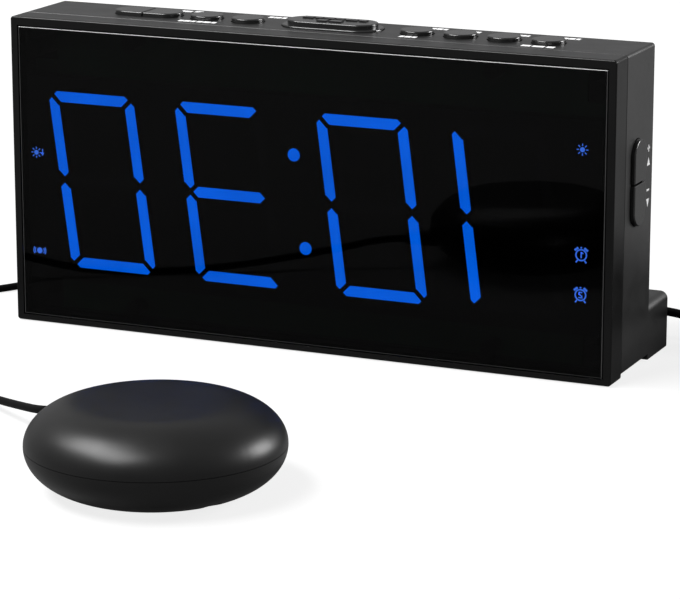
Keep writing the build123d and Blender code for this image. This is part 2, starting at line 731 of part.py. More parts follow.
MAIN_BOARD_DROP = 22.0
MAIN_POST_INSET = 4.0
JACK_Z = 9.1
DC_X_SHARE = 0.74
SHAKER_X_SHARE = -0.70
USB_X_SHARE = 0.40
JACK_NOSE_D = 7.8
JACK_NOSE_L = 1.8
JACK_W = 9.0
JACK_H = 11.0
JACK_L = 14.0
JACK_BORE_L = 10.0
DC_BORE_D = 5.6
DC_PIN_D = 1.9
SHAKER_BORE_D = 3.7
USB_W = 13.2
USB_H = 5.8
USB_WALL = 0.6
USB_L = 14.0
USB_TONGUE_W = 9.6
USB_TONGUE_T = 1.8
CRADLE_W = 7.0

HEAD_SEAT = COVER_FRONT - HEAD_SINK
TUNNEL_HALF_W = HALF_W - TUNNEL_INSET
SPEAKER_Z = CLOCK_H - SPEAKER_DROP
DOOR_BOTTOM = (FOOT_H + CLOCK_H - DOOR_H) / 2 - DOOR_SHIFT
DOOR_TOP = DOOR_BOTTOM + DOOR_H
DOOR_SCREW_Z = DOOR_TOP - DOOR_SCREW_DROP
CELL_Z = DOOR_BOTTOM + CELL_RISE
TRAY_FRONT = COVER_FRONT - TRAY_REACH
MAIN_BOARD_FRONT = (DISPLAY_BOARD_BACK + COVER_FRONT) / 2 - MAIN_BOARD_FORWARD
MAIN_BOARD_RIGHT = HALF_W - MAIN_BOARD_INSET
MAIN_BOARD_TOP = CLOCK_H - MAIN_BOARD_DROP
TRAY_POCKET_FRONT = TRAY_FRONT + TRAY_WALL
DOOR_FRONT = CASE_D - DOOR_T - FIT
CELL_FRONT = TRAY_POCKET_FRONT + FIT
CELL_BACK = CELL_FRONT + CELL_T
MAIN_BOARD_BACK = MAIN_BOARD_FRONT + BOARD_T
MAIN_POSTS = [
    (x, z)
    for x in (MAIN_BOARD_LEFT + MAIN_POST_INSET, MAIN_BOARD_RIGHT - MAIN_POST_INSET)
    for z in (MAIN_BOARD_BOTTOM + MAIN_POST_INSET, MAIN_BOARD_TOP - MAIN_POST_INSET)
]
SPEAKER_PLACE = (SPEAKER_X_SHARE * HALF_W, SPEAKER_Z)
DC_X = DC_X_SHARE * HALF_W
SHAKER_X = SHAKER_X_SHARE * HALF_W
USB_X = USB_X_SHARE * HALF_W
FOOT_IN_BACK = FOOT_D - CASE_WALL
JACK_FRONT = FOOT_IN_BACK - JACK_L
USB_FRONT = FOOT_D - USB_L
CLIP_SLOT_X = CELL_R + CELL_FIT

with BuildPart() as rear_cover:
    with BuildSketch(behind(CASE_D)):
        case_rectangle(HALF_W, PAD_PROUD, FOOT_H)
    extrude(amount=CASE_D - FOOT_D)
    rear_edges = rear_cover.faces().sort_by(Axis.Y)[-1].edges()
    side_edges = rear_cover.edges().filter_by(Axis.Y)
    fillet([*rear_edges, *side_edges.group_by(Axis.Z)[-1]], FOOT_EDGE_R)
    with BuildSketch(behind(CASE_D + FOOT_FRONT_WALL)):
        case_rectangle(INNER_HALF_W, PAD_PROUD + CASE_WALL, FOOT_H - CASE_WALL)
    extrude(amount=CASE_D + FOOT_FRONT_WALL - FOOT_IN_BACK, mode=Mode.SUBTRACT)
    with BuildSketch(behind(COVER_FRONT)):
        case_rectangle(INNER_HALF_W - FIT, INNER_BOTTOM + FIT, INNER_TOP - FIT)
    extrude(amount=-CASE_WALL)
    with BuildSketch(behind(POST_END)):
        with Locations(*POSTS):
            Circle(SLEEVE_D / 2)
    extrude(amount=POST_END - CASE_D)
    with BuildSketch(behind(POST_END)):
        with Locations(*[place for place in POSTS if place[1] < FOOT_H]):
            Circle(SLEEVE_D / 2)
    extrude(amount=POST_END - FOOT_IN_BACK)
    with BuildSketch(behind(COVER_FRONT)):
        case_rectangle(TUNNEL_HALF_W, INNER_BOTTOM + FIT + TUNNEL_SILL, FOOT_H - CASE_WALL)
    extrude(amount=COVER_FRONT - CASE_D - FOOT_FRONT_WALL, mode=Mode.SUBTRACT)
    with BuildSketch(behind(TRAY_FRONT)):
        case_rectangle(TRAY_HALF_W, DOOR_BOTTOM - TRAY_EDGE, DOOR_TOP + TRAY_EDGE)
    extrude(amount=TRAY_FRONT - COVER_FRONT)
    with BuildSketch(behind(MAIN_BOARD_BACK)):
        with Locations(*MAIN_POSTS):
            Circle(BOSS_D / 2)
    extrude(amount=MAIN_BOARD_BACK - COVER_FRONT)
    with BuildSketch(behind(COVER_FRONT - SPEAKER_RIB_L)):
        with Locations(SPEAKER_PLACE):
            Circle(SPEAKER_R + SPEAKER_FIT + SPEAKER_RIB_T)
            Circle(SPEAKER_R + SPEAKER_FIT, mode=Mode.SUBTRACT)
    extrude(amount=-SPEAKER_RIB_L)
    with BuildSketch(Plane.XY.offset(PAD_PROUD + CASE_WALL)):
        for x in (DC_X, SHAKER_X):
            with Locations((x, y_at(FOOT_IN_BACK - JACK_L / 2))):
                Rectangle(CRADLE_W, JACK_L)
    extrude(amount=JACK_Z - JACK_H / 2 - PAD_PROUD - CASE_WALL)
    with BuildSketch(Plane.XY.offset(PAD_PROUD + CASE_WALL)):
        with Locations((USB_X, y_at(FOOT_IN_BACK - USB_L / 2))):
            Rectangle(CRADLE_W, USB_L)
    extrude(amount=JACK_Z - USB_H / 2 - PAD_PROUD - CASE_WALL)
    with BuildSketch(behind(FOOT_D)):
        with Locations(*POSTS):
            Circle(HEAD_D / 2 + HEAD_FIT)
    extrude(amount=FOOT_D - HEAD_SEAT, mode=Mode.SUBTRACT)
    with BuildSketch(behind(POST_END)):
        with Locations(*POSTS):
            Circle(SLEEVE_HOLE_D / 2)
    extrude(amount=POST_END - HEAD_SEAT, mode=Mode.SUBTRACT)
    with BuildSketch(behind(COVER_FRONT)):
        with Locations(SPEAKER_PLACE):
            Circle(GRILLE_HOLE_D / 2)
            for ring in range(1, GRILLE_RINGS + 1):
                with PolarLocations(ring * GRILLE_STEP, 6 * ring):
                    Circle(GRILLE_HOLE_D / 2)
    extrude(amount=-CASE_WALL, mode=Mode.SUBTRACT)
    with BuildSketch(behind(DOOR_FRONT)):
        case_rectangle(DOOR_HALF_W, DOOR_BOTTOM, DOOR_TOP)
    extrude(amount=DOOR_FRONT - CASE_D, mode=Mode.SUBTRACT)
    with BuildSketch(behind(TRAY_POCKET_FRONT)):
        with Locations((0, CELL_Z)):
            Circle(CELL_R + CELL_FIT)
        with Locations((CLIP_SLOT_X, CELL_Z)):
            Rectangle(2 * TRAY_EDGE, CLIP_W + 2 * CLIP_FIT)
    extrude(amount=TRAY_POCKET_FRONT - DOOR_FRONT, mode=Mode.SUBTRACT)
    with BuildSketch(behind(DOOR_FRONT)):
        with Locations((0, DOOR_SCREW_Z)):
            Circle(SMALL_SCREW_D / 2 + SCREW_FIT)
    extrude(amount=SMALL_THREAD + FIT, mode=Mode.SUBTRACT)
    with BuildSketch(behind(MAIN_BOARD_BACK)):
        with Locations(*MAIN_POSTS):
            Circle(SMALL_SCREW_D / 2 + SCREW_FIT)
    extrude(amount=-SMALL_THREAD - FIT, mode=Mode.SUBTRACT)
    with BuildSketch(behind(FOOT_D)):
        with Locations((DC_X, JACK_Z), (SHAKER_X, JACK_Z)):
            Circle(JACK_NOSE_D / 2 + FIT)
        with Locations((USB_X, JACK_Z)):
            Rectangle(USB_W + 2 * FIT, USB_H + 2 * FIT)
    extrude(amount=CASE_WALL, mode=Mode.SUBTRACT)
    rear_pockets = pad_sketch(REAR_PAD_DEPTH, REAR_PAD_W, PAD_PROUD, PAD_FIT)
    extrude(rear_pockets, amount=PAD_POCKET, mode=Mode.SUBTRACT)

save(rear_cover, "rear_cover")

# Battery door, coin cell and its spring contact
with BuildPart() as battery_door:
    with BuildSketch(behind(DOOR_FRONT)):
        case_rectangle(DOOR_HALF_W - DOOR_FIT, DOOR_BOTTOM + DOOR_FIT, DOOR_TOP - DOOR_FIT)
    extrude(amount=-DOOR_T)
    with BuildSketch(behind(DOOR_FRONT)):
        with Locations((0, DOOR_SCREW_Z)):
            Circle(SMALL_SCREW_D / 2 + SCREW_FIT)
    extrude(amount=-DOOR_T, mode=Mode.SUBTRACT)
    with BuildSketch(behind(DOOR_FRONT + DOOR_SEAT_T)):
        with Locations((0, DOOR_SCREW_Z)):
            Circle(SMALL_HEAD_D / 2 + HEAD_FIT)
    extrude(amount=-DOOR_T, mode=Mode.SUBTRACT)

save(battery_door, "battery_door")

with BuildPart() as coin_cell:
    with BuildSketch(behind(CELL_FRONT)):
        with Locations((0, CELL_Z)):
            Circle(CELL_R)
    extrude(amount=-CELL_T)
    fillet(coin_cell.edges(), CLIP_T)

save(coin_cell, "coin_cell")

CLIP_START_X = 3.0
CLIP_OUT_X = CLIP_SLOT_X + TRAY_EDGE - CLIP_FIT

with BuildPart() as cell_clip:
    with BuildSketch(behind(CELL_BACK + CLIP_FIT / 2)):
        with Locations(((CLIP_START_X + CLIP_OUT_X) / 2, CELL_Z)):
            Rectangle(CLIP_OUT_X - CLIP_START_X, CLIP_W)
    extrude(amount=-CLIP_T)
    with BuildSketch(behind(TRAY_POCKET_FRONT)):
        with Locations((CLIP_OUT_X - CLIP_T / 2, CELL_Z)):
            Rectangle(CLIP_T, CLIP_W)
    extrude(amount=TRAY_POCKET_FRONT - CELL_BACK - CLIP_FIT / 2)

save(cell_clip, "cell_clip")

# Speaker against the grille: a frame with a magnet in front and a cone that faces the grille
SPEAKER_FLANGE_T = 1.6
SPEAKER_CAN_R = 14.0
SPEAKER_CAN_WALL = 1.0
SPEAKER_L = 8.0
CONE_THICKNESS = 0.6
COIL_TUBE_R = 5.0
COIL_TUBE_L = 1.6
CONE_DEPTH = 4.0
MAGNET_R = 9.0
MAGNET_T = 4.0
SPEAKER_FRONT = COVER_FRONT - SPEAKER_L
FLANGE_FRONT = COVER_FRONT - SPEAKER_FLANGE_T
CONE_R = SPEAKER_CAN_R - SPEAKER_CAN_WALL

with BuildPart() as speaker_frame:
    with BuildSketch(behind(FLANGE_FRONT)):
        with Locations(SPEAKER_PLACE):
            Circle(SPEAKER_R)
            Circle(CONE_R, mode=Mode.SUBTRACT)
    extrude(amount=-SPEAKER_FLANGE_T)
    with BuildSketch(behind(SPEAKER_FRONT)):
        with Locations(SPEAKER_PLACE):
            Circle(SPEAKER_CAN_R)
            Circle(CONE_R, mode=Mode.SUBTRACT)
    extrude(amount=SPEAKER_FRONT - FLANGE_FRONT)
    with BuildSketch(behind(SPEAKER_FRONT)):
        with Locations(SPEAKER_PLACE):
            Circle(SPEAKER_CAN_R)
            Circle(COIL_TUBE_R + SPEAKER_CAN_WALL, mode=Mode.SUBTRACT)
    extrude(amount=-SPEAKER_CAN_WALL)

save(speaker_frame, "speaker_frame")

with BuildPart() as speaker_magnet:
    with BuildSketch(behind(SPEAKER_FRONT - MAGNET_T)):
        with Locations(SPEAKER_PLACE):
            Circle(MAGNET_R)
    extrude(amount=-MAGNET_T)

save(speaker_magnet, "speaker_magnet")

# The cone is turned about the speaker's own axis
SPEAKER_PLANE = Plane(
    origin=(SPEAKER_PLACE[0], y_at(FLANGE_FRONT), SPEAKER_PLACE[1]), x_dir=(1, 0, 0), z_dir=(0, 0, 1)
)
CONE_RIM_R = CONE_R - FIT

with BuildPart() as speaker_cone:
    with BuildSketch(SPEAKER_PLANE):
        with BuildLine():
            Polyline(
                (COIL_TUBE_R - CONE_THICKNESS, -CONE_DEPTH - COIL_TUBE_L),
                (COIL_TUBE_R, -CONE_DEPTH - COIL_TUBE_L),
                (COIL_TUBE_R, -CONE_DEPTH),
                (CONE_RIM_R, 0),
                (CONE_RIM_R, CONE_THICKNESS),
                (COIL_TUBE_R - CONE_THICKNESS, -CONE_DEPTH + CONE_THICKNESS),
                close=True,
            )
        make_face()
    revolve(axis=Axis(SPEAKER_PLANE.origin, (0, 1, 0)))

save(speaker_cone, "speaker_cone")

# Main board on the rear cover's posts, with its parts
CHIP_SIZES = ((10.0, 10.0, 1.4), (6.0, 5.0, 1.2), (8.0, 4.0, 2.0), (4.6, 1.9, 1.6), (12.0, 5.0, 3.0))
CHIP_PLACE_SHARES = ((0.32, 0.62), (0.12, 0.40), (0.62, 0.78), (0.50, 0.42), (0.80, 0.52))
CAPACITOR_R = 3.0
CAPACITOR_L = 7.0
CAPACITOR_PLACE_SHARES = ((0.66, 0.22), (0.76, 0.22))
MAIN_BOARD_W = MAIN_BOARD_RIGHT - MAIN_BOARD_LEFT
MAIN_BOARD_H = MAIN_BOARD_TOP - MAIN_BOARD_BOTTOM


def on_main_board(share_x, share_z):
    """Place on the main board from shares of its width and height."""
    return MAIN_BOARD_LEFT + share_x * MAIN_BOARD_W, MAIN_BOARD_BOTTOM + share_z * MAIN_BOARD_H


with BuildPart() as main_board:
    with BuildSketch(behind(MAIN_BOARD_FRONT)):
        with Locations(on_main_board(0.5, 0.5)):
            Rectangle(MAIN_BOARD_W, MAIN_BOARD_H)
        with Locations(*MAIN_POSTS):
            Circle(SMALL_SCREW_D / 2 + SCREW_FIT, mode=Mode.SUBTRACT)
    extrude(amount=-BOARD_T)

save(main_board, "main_board")

with BuildPart() as board_chips:
    for shares, (width, height, thickness) in zip(CHIP_PLACE_SHARES, CHIP_SIZES):
        with BuildSketch(behind(MAIN_BOARD_BACK)):
            with Locations(on_main_board(*shares)):
                Rectangle(width, height)
        extrude(amount=-thickness)
    with BuildSketch(behind(MAIN_BOARD_BACK)):
        with Locations(*[on_main_board(*shares) for shares in CAPACITOR_PLACE_SHARES]):
            Circle(CAPACITOR_R)
    extrude(amount=-CAPACITOR_L)

save(board_chips, "board_chips")

# Links between the boards: a pin header and two flat cables
HEADER_W = 25.4
HEADER_H = 5.0
HEADER_PLACE_SHARES = (0.45, 0.16)
KEY_CABLE_W = 20.0
KEY_CABLE_X_SHARE = 0.40
SIDE_CABLE_H = 10.0
CABLE_T = 0.4
CABLE_LAP = 3.0

with BuildPart() as board_links:
    with BuildSketch(behind(DISPLAY_BOARD_BACK)):
        with Locations(on_main_board(*HEADER_PLACE_SHARES)):
            Rectangle(HEADER_W, HEADER_H)
    extrude(amount=DISPLAY_BOARD_BACK - MAIN_BOARD_FRONT)
    with BuildSketch(behind(MAIN_BOARD_FRONT)):
        middle, height = slab(MAIN_BOARD_TOP - CABLE_LAP, KEY_BOARD_TOP - BOARD_T)
        with Locations((KEY_CABLE_X_SHARE * HALF_W, middle)):
            Rectangle(KEY_CABLE_W, height)
    extrude(amount=CABLE_T)
    with BuildSketch(behind(MAIN_BOARD_FRONT)):
        middle, width = slab(MAIN_BOARD_RIGHT - CABLE_LAP, VOLUME_BOARD_OUT - BOARD_T)
        with Locations((middle, VOLUME_Z)):
            Rectangle(width, SIDE_CABLE_H)
    extrude(amount=CABLE_T)

save(board_links, "board_links")

# Sockets in the foot
def jack(x, bore_d):
    """Round socket with its nose in the foot's back wall."""
    with BuildPart() as socket:
        with BuildSketch(behind(JACK_FRONT)):
            with Locations((x, JACK_Z)):
                Rectangle(JACK_W, JACK_H)
        extrude(amount=-JACK_L)
        with BuildSketch(behind(FOOT_IN_BACK)):
            with Locations((x, JACK_Z)):
                Circle(JACK_NOSE_D / 2)
        extrude(amount=-JACK_NOSE_L)
        with BuildSketch(behind(FOOT_IN_BACK + JACK_NOSE_L)):
            with Locations((x, JACK_Z)):
                Circle(bore_d / 2)
        extrude(amount=JACK_NOSE_L + JACK_BORE_L, mode=Mode.SUBTRACT)
        if bore_d > 2 * DC_PIN_D:
            with BuildSketch(behind(FOOT_IN_BACK - JACK_BORE_L)):
                with Locations((x, JACK_Z)):
                    Circle(DC_PIN_D / 2)
            extrude(amount=-JACK_BORE_L)
    return socket


save(jack(DC_X, DC_BORE_D), "dc_jack")
save(jack(SHAKER_X, SHAKER_BORE_D), "shaker_jack")

with BuildPart() as usb_port:
    with BuildSketch(behind(USB_FRONT)):
        with Locations((USB_X, JACK_Z)):
            Rectangle(USB_W, USB_H)
    extrude(amount=-USB_L)
    with BuildSketch(behind(USB_FRONT + USB_WALL)):
        with Locations((USB_X, JACK_Z)):
            Rectangle(USB_W - 2 * USB_WALL, USB_H - 2 * USB_WALL)
    extrude(amount=-USB_L, mode=Mode.SUBTRACT)
    with BuildSketch(behind(USB_FRONT + USB_WALL)):
        with Locations((USB_X, JACK_Z + USB_H / 2 - USB_WALL - USB_TONGUE_T)):
            Rectangle(USB_TONGUE_W, USB_TONGUE_T)
    extrude(amount=3 * USB_WALL - USB_L)

save(usb_port, "usb_port")

# Rubber feet
with BuildPart() as rubber_feet:
    extrude(pad_sketch(FRONT_PAD_DEPTH, FRONT_PAD_W, 0, 0), amount=FOOT_PAD_T)
    extrude(pad_sketch(REAR_PAD_DEPTH, REAR_PAD_W, 0, 0), amount=FOOT_PAD_T)

save(rubber_feet, "rubber_feet")

# Screws of the case, the battery door and the boards
CASE_THREAD = 12.0


def screws(groups):
    """Screws as a group of solids: seat plane, places, head and shank diameters, head height, length."""
    with BuildPart() as group:
        for seat, places, head_d, shank_d, head_t, length in groups:
            with BuildSketch(seat):
                with Locations(*places):
                    Circle(head_d / 2)
            extrude(amount=head_t)
            with BuildSketch(seat):
                with Locations(*places):
                    Circle(shank_d / 2)
            extrude(amount=-length)
    return group


def facing_back(depth):
    """Plane seen from the back: local x is -X, local y is Z."""
    return Plane(origin=(0, y_at(depth), 0), x_dir=(-1, 0, 0), z_dir=(0, 1, 0))


def mirrored(places):
    """Places as seen from the back."""
    return [(-x, z) for x, z in places]


SMALL = (SMALL_HEAD_D, SMALL_SCREW_D, SMALL_HEAD_T, BOARD_T + SMALL_THREAD)
key_seat = Plane(origin=(0, 0, KEY_BOARD_TOP - BOARD_T), x_dir=(1, 0, 0), z_dir=(0, 0, -1))
volume_seat = Plane(origin=(VOLUME_BOARD_OUT - BOARD_T, 0, 0), x_dir=(0, 1, 0), z_dir=(-1, 0, 0))
case_screws = screws([
    (facing_back(HEAD_SEAT), mirrored(POSTS), HEAD_D, SCREW_D, HEAD_T, CASE_THREAD),
    (
        facing_back(DOOR_FRONT + DOOR_SEAT_T),
        [(0, DOOR_SCREW_Z)],
        SMALL_HEAD_D,
        SMALL_SCREW_D,
        SMALL_HEAD_T,
        SMALL_THREAD,
    ),
])
board_screws = screws([
    (facing_back(DISPLAY_BOARD_BACK), mirrored(BOSSES), *SMALL),
    (behind(MAIN_BOARD_FRONT), MAIN_POSTS, *SMALL),
    (key_seat, [(x, -y) for x, y in KEY_POSTS], *SMALL),
    (volume_seat, [(y, -z) for y, z in VOLUME_POSTS], *SMALL),
])
save(case_screws, "case_screws")
save(board_screws, "board_screws")

# Bed shaker: two rounded shells that meet at a seam, with the motor and its weight between them
PUCK_POST_D = 8.0
PUCK_POST_INSET = 9.15
PUCK_POST_ANGLES = (90, 210, 330)
PUCK_HEAD_SEAT_Z = 6.0
PUCK_SHANK_TOP_Z = 19.0
PUCK_SCREW_D = 2.8
PUCK_RIM_T = 1.0
PUCK_RIM_H = 1.5
MOTOR_Z = 12.0
MOTOR_R = 8.0
MOTOR_WALL = 0.8
MOTOR_GAP = 4.5
MOTOR_RIGHT = 6.0
MOTOR_FIT = 0.1
SHAFT_D = 2.0
SHAFT_FIT = 0.05
SHAFT_END = 1.5
ARMATURE_R = 5.5
ARMATURE_GAP = 4.0
WEIGHT_LEFT = 8.5
WEIGHT_GAP = 6.0
WEIGHT_R = 8.0
WEIGHT_HUB_R = 2.5
CRADLE_T = 2.0
CRADLE_HALF_W = 9.5
CRADLE_INSET = 3.0
CLAMP_T = 1.2
CLAMP_W = 6.0
CLAMP_EAR = 6.0
CLAMP_SEAT_Z = 10.0
EXIT_ANGLE = 150
EXIT_Z = 9.4
GROMMET_D = 5.6
GROMMET_END_D = 3.6
GROMMET_L = 9.0
GROMMET_IN = 4.0
GROMMET_FLANGE_T = 1.0
GROMMET_FLANGE_GROW = 1.0

PUCK_PLANE = Plane(origin=(PUCK_X, PUCK_Y, 0), x_dir=(1, 0, 0), z_dir=(0, -1, 0))
PUCK_AXIS = Axis((PUCK_X, PUCK_Y, 0), (0, 0, 1))
PUCK_POST_R = PUCK_R - PUCK_POST_INSET
POST_SIDE_X = PUCK_POST_R * math.cos(math.radians(PUCK_POST_ANGLES[-1]))
MOTOR_LEFT = MOTOR_GAP - POST_SIDE_X
WEIGHT_RIGHT = POST_SIDE_X - WEIGHT_GAP
SHAFT_RIGHT = WEIGHT_RIGHT + SHAFT_END
CLAMP_X = (MOTOR_LEFT + MOTOR_RIGHT) / 2
PUCK_POSTS = [
    (PUCK_X + PUCK_POST_R * math.cos(math.radians(a)), PUCK_Y + PUCK_POST_R * math.sin(math.radians(a)))
    for a in PUCK_POST_ANGLES
]
EXIT_DIR = Vector(math.cos(math.radians(EXIT_ANGLE)), math.sin(math.radians(EXIT_ANGLE)), 0)
PUCK_CENTRE = Vector(PUCK_X, PUCK_Y, EXIT_Z)
GROMMET_START = PUCK_CENTRE + EXIT_DIR * (PUCK_R - PUCK_WALL - GROMMET_IN)
GROMMET_END = PUCK_CENTRE + EXIT_DIR * (PUCK_R + GROMMET_L)


def puck_profile(top, inset, seam):
    """Half section of the shaker's upper or lower form, drawn in by an inset."""
    flat_r = PUCK_R - (PUCK_TOP_SHOULDER if top else PUCK_BOTTOM_SHOULDER)
    span_r = PUCK_R - flat_r - inset
    span_z = (PUCK_H - PUCK_SEAM_Z if top else PUCK_SEAM_Z) - inset
    side = 1 if top else -1
    end_z = PUCK_SEAM_Z + side * span_z
    with BuildSketch(PUCK_PLANE) as profile:
        with BuildLine():
            EllipticalCenterArc((flat_r, PUCK_SEAM_Z), span_r, span_z, arc_size=90 * side)
            Polyline((flat_r, end_z), (0, end_z), (0, PUCK_SEAM_Z), (flat_r + span_r, PUCK_SEAM_Z))
        make_face()
        with Locations((PUCK_R / 2, PUCK_SEAM_Z)):
            Rectangle(2 * PUCK_R, 2 * seam, mode=Mode.SUBTRACT)
    return profile.sketch


def exit_disc(centre, radius):
    """Disc across the cord's way out of the shaker."""
    with BuildSketch(Plane(centre, z_dir=EXIT_DIR)) as disc:
        Circle(radius)
    return disc.sketch


def across_motor(x):
    """Plane across the motor's axis: local x is Y, local y is Z, both from the axis."""
    return Plane(origin=(PUCK_X + x, PUCK_Y, MOTOR_Z), x_dir=(0, 1, 0), z_dir=(1, 0, 0))


RIM_SHARE = math.sqrt(1 - (PUCK_RIM_H / (PUCK_H - PUCK_SEAM_Z - PUCK_WALL)) ** 2)
RIM_R = PUCK_R - PUCK_TOP_SHOULDER + (PUCK_TOP_SHOULDER - PUCK_WALL) * RIM_SHARE - FIT
CLAMP_OUT_R = MOTOR_R + MOTOR_FIT + CLAMP_T
CLAMP_HALF_W = CLAMP_OUT_R + CLAMP_EAR
CLAMP_SCREW_Y = CLAMP_OUT_R + CLAMP_EAR / 2
CLAMP_SCREWS = [(PUCK_X + CLAMP_X, PUCK_Y + side * CLAMP_SCREW_Y) for side in (-1, 1)]
CLAMP_TOP_Z = CLAMP_SEAT_Z + CLAMP_T
CRADLE_PLACES = (MOTOR_LEFT + CRADLE_INSET, MOTOR_RIGHT - CRADLE_INSET)

with BuildPart() as puck_bottom_shell:
    with BuildSketch():
        with Locations(*PUCK_POSTS):
            Circle(PUCK_POST_D / 2)
    extrude(amount=PUCK_SEAM_Z)
    with BuildSketch():
        with Locations(*CLAMP_SCREWS):
            Rectangle(CLAMP_W, CLAMP_EAR)
    extrude(amount=CLAMP_SEAT_Z)
    with BuildSketch():
        for x in CRADLE_PLACES:
            with Locations((PUCK_X + x, PUCK_Y)):
                Rectangle(CRADLE_T, 2 * CRADLE_HALF_W)
    extrude(amount=MOTOR_Z)
    with BuildSketch(across_motor(MOTOR_LEFT)):
        Circle(MOTOR_R + MOTOR_FIT)
    extrude(amount=MOTOR_RIGHT - MOTOR_LEFT, mode=Mode.SUBTRACT)
    with BuildSketch(Plane.XY.offset(PUCK_SEAM_Z - 2 * PUCK_RIM_H)):
        with Locations((PUCK_X, PUCK_Y)):
            Circle(PUCK_R - PUCK_WALL + FIT)
            Circle(RIM_R - PUCK_RIM_T, mode=Mode.SUBTRACT)
    extrude(amount=2 * PUCK_RIM_H)
    revolve(puck_profile(False, 0, PUCK_SEAM_GAP / 2), axis=PUCK_AXIS, mode=Mode.INTERSECT)
    wall = revolve(puck_profile(False, 0, PUCK_SEAM_GAP / 2), axis=PUCK_AXIS, mode=Mode.PRIVATE)
    hollow = revolve(puck_profile(False, PUCK_WALL, 0), axis=PUCK_AXIS, mode=Mode.PRIVATE)
    add(wall - hollow)
    with BuildSketch(Plane.XY.offset(PUCK_SEAM_Z - PUCK_RIM_H)):
        with Locations((PUCK_X, PUCK_Y)):
            Circle(RIM_R)
            Circle(RIM_R - PUCK_RIM_T, mode=Mode.SUBTRACT)
    extrude(amount=2 * PUCK_RIM_H)
    with BuildSketch():
        with Locations(*PUCK_POSTS):
            Circle(HEAD_D / 2 + HEAD_FIT)
    extrude(amount=PUCK_HEAD_SEAT_Z, mode=Mode.SUBTRACT)
    with BuildSketch():
        with Locations(*PUCK_POSTS):
            Circle(PUCK_SCREW_D / 2 + FIT)
    extrude(amount=PUCK_SEAM_Z, mode=Mode.SUBTRACT)
    with BuildSketch(Plane.XY.offset(CLAMP_SEAT_Z)):
        with Locations(*CLAMP_SCREWS):
            Circle(SMALL_SCREW_D / 2 + SCREW_FIT)
    extrude(amount=-SMALL_THREAD - FIT, mode=Mode.SUBTRACT)
    extrude(exit_disc(GROMMET_START, GROMMET_D / 2 + FIT), amount=GROMMET_L, mode=Mode.SUBTRACT)
    flange_room = exit_disc(GROMMET_START, GROMMET_D / 2 + GROMMET_FLANGE_GROW + FIT)
    extrude(flange_room, amount=GROMMET_FLANGE_T + FIT, mode=Mode.SUBTRACT)

save(puck_bottom_shell, "puck_bottom_shell")

with BuildPart() as puck_top_shell:
    with BuildSketch(Plane.XY.offset(PUCK_SEAM_Z + PUCK_SEAM_GAP / 2)):
        with Locations(*PUCK_POSTS):
            Circle(PUCK_POST_D / 2)
    extrude(amount=PUCK_H - PUCK_SEAM_Z)
    revolve(puck_profile(True, 0, PUCK_SEAM_GAP / 2), axis=PUCK_AXIS, mode=Mode.INTERSECT)
    wall = revolve(puck_profile(True, 0, PUCK_SEAM_GAP / 2), axis=PUCK_AXIS, mode=Mode.PRIVATE)
    hollow = revolve(puck_profile(True, PUCK_WALL, 0), axis=PUCK_AXIS, mode=Mode.PRIVATE)
    add(wall - hollow)
    with BuildSketch(Plane.XY.offset(PUCK_SEAM_Z)):
        with Locations(*PUCK_POSTS):
            Circle(PUCK_SCREW_D / 2 + SCREW_FIT)
    extrude(amount=PUCK_SHANK_TOP_Z + FIT - PUCK_SEAM_Z, mode=Mode.SUBTRACT)

save(puck_top_shell, "puck_top_shell")

with BuildPart() as motor_can:
    with BuildSketch(across_motor(MOTOR_LEFT)):
        Circle(MOTOR_R)
    extrude(amount=MOTOR_RIGHT - MOTOR_LEFT)
    with BuildSketch(across_motor(MOTOR_LEFT + MOTOR_WALL)):
        Circle(MOTOR_R - MOTOR_WALL)
    extrude(amount=MOTOR_RIGHT - MOTOR_LEFT - 2 * MOTOR_WALL, mode=Mode.SUBTRACT)
    with BuildSketch(across_motor(MOTOR_LEFT)):
        Circle(SHAFT_D / 2 + SHAFT_FIT)
    extrude(amount=MOTOR_RIGHT - MOTOR_LEFT, mode=Mode.SUBTRACT)

save(motor_can, "motor_can")

with BuildPart() as motor_shaft:
    with BuildSketch(across_motor(MOTOR_LEFT)):
        Circle(SHAFT_D / 2)
    extrude(amount=SHAFT_RIGHT - MOTOR_LEFT)
    with BuildSketch(across_motor(MOTOR_LEFT + ARMATURE_GAP)):
        Circle(ARMATURE_R)
    extrude(amount=MOTOR_RIGHT - MOTOR_LEFT - 2 * ARMATURE_GAP)

save(motor_shaft, "motor_shaft")

with BuildPart() as eccentric_weight:
    with BuildSketch(across_motor(WEIGHT_LEFT)):
        Circle(WEIGHT_R)
        with Locations((0, WEIGHT_R)):
            Rectangle(2 * WEIGHT_R, 2 * WEIGHT_R, mode=Mode.SUBTRACT)
        Circle(WEIGHT_HUB_R)
        Circle(SHAFT_D / 2, mode=Mode.SUBTRACT)
    extrude(amount=WEIGHT_RIGHT - WEIGHT_LEFT)

save(eccentric_weight, "eccentric_weight")

with BuildPart() as motor_clamp:
    with BuildSketch(across_motor(CLAMP_X - CLAMP_W / 2)):
        Circle(CLAMP_OUT_R)
        with Locations((0, -CLAMP_OUT_R + CLAMP_SEAT_Z - MOTOR_Z)):
            Rectangle(2 * CLAMP_OUT_R, 2 * CLAMP_OUT_R, mode=Mode.SUBTRACT)
        middle, height = slab(CLAMP_SEAT_Z - MOTOR_Z, CLAMP_TOP_Z - MOTOR_Z)
        with Locations((0, middle)):
            Rectangle(2 * CLAMP_HALF_W, height)
        Circle(MOTOR_R + MOTOR_FIT, mode=Mode.SUBTRACT)
    extrude(amount=CLAMP_W)
    with BuildSketch(Plane.XY.offset(CLAMP_SEAT_Z)):
        with Locations(*CLAMP_SCREWS):
            Circle(SMALL_SCREW_D / 2 + SCREW_FIT)
    extrude(amount=CLAMP_T, mode=Mode.SUBTRACT)

save(motor_clamp, "motor_clamp")

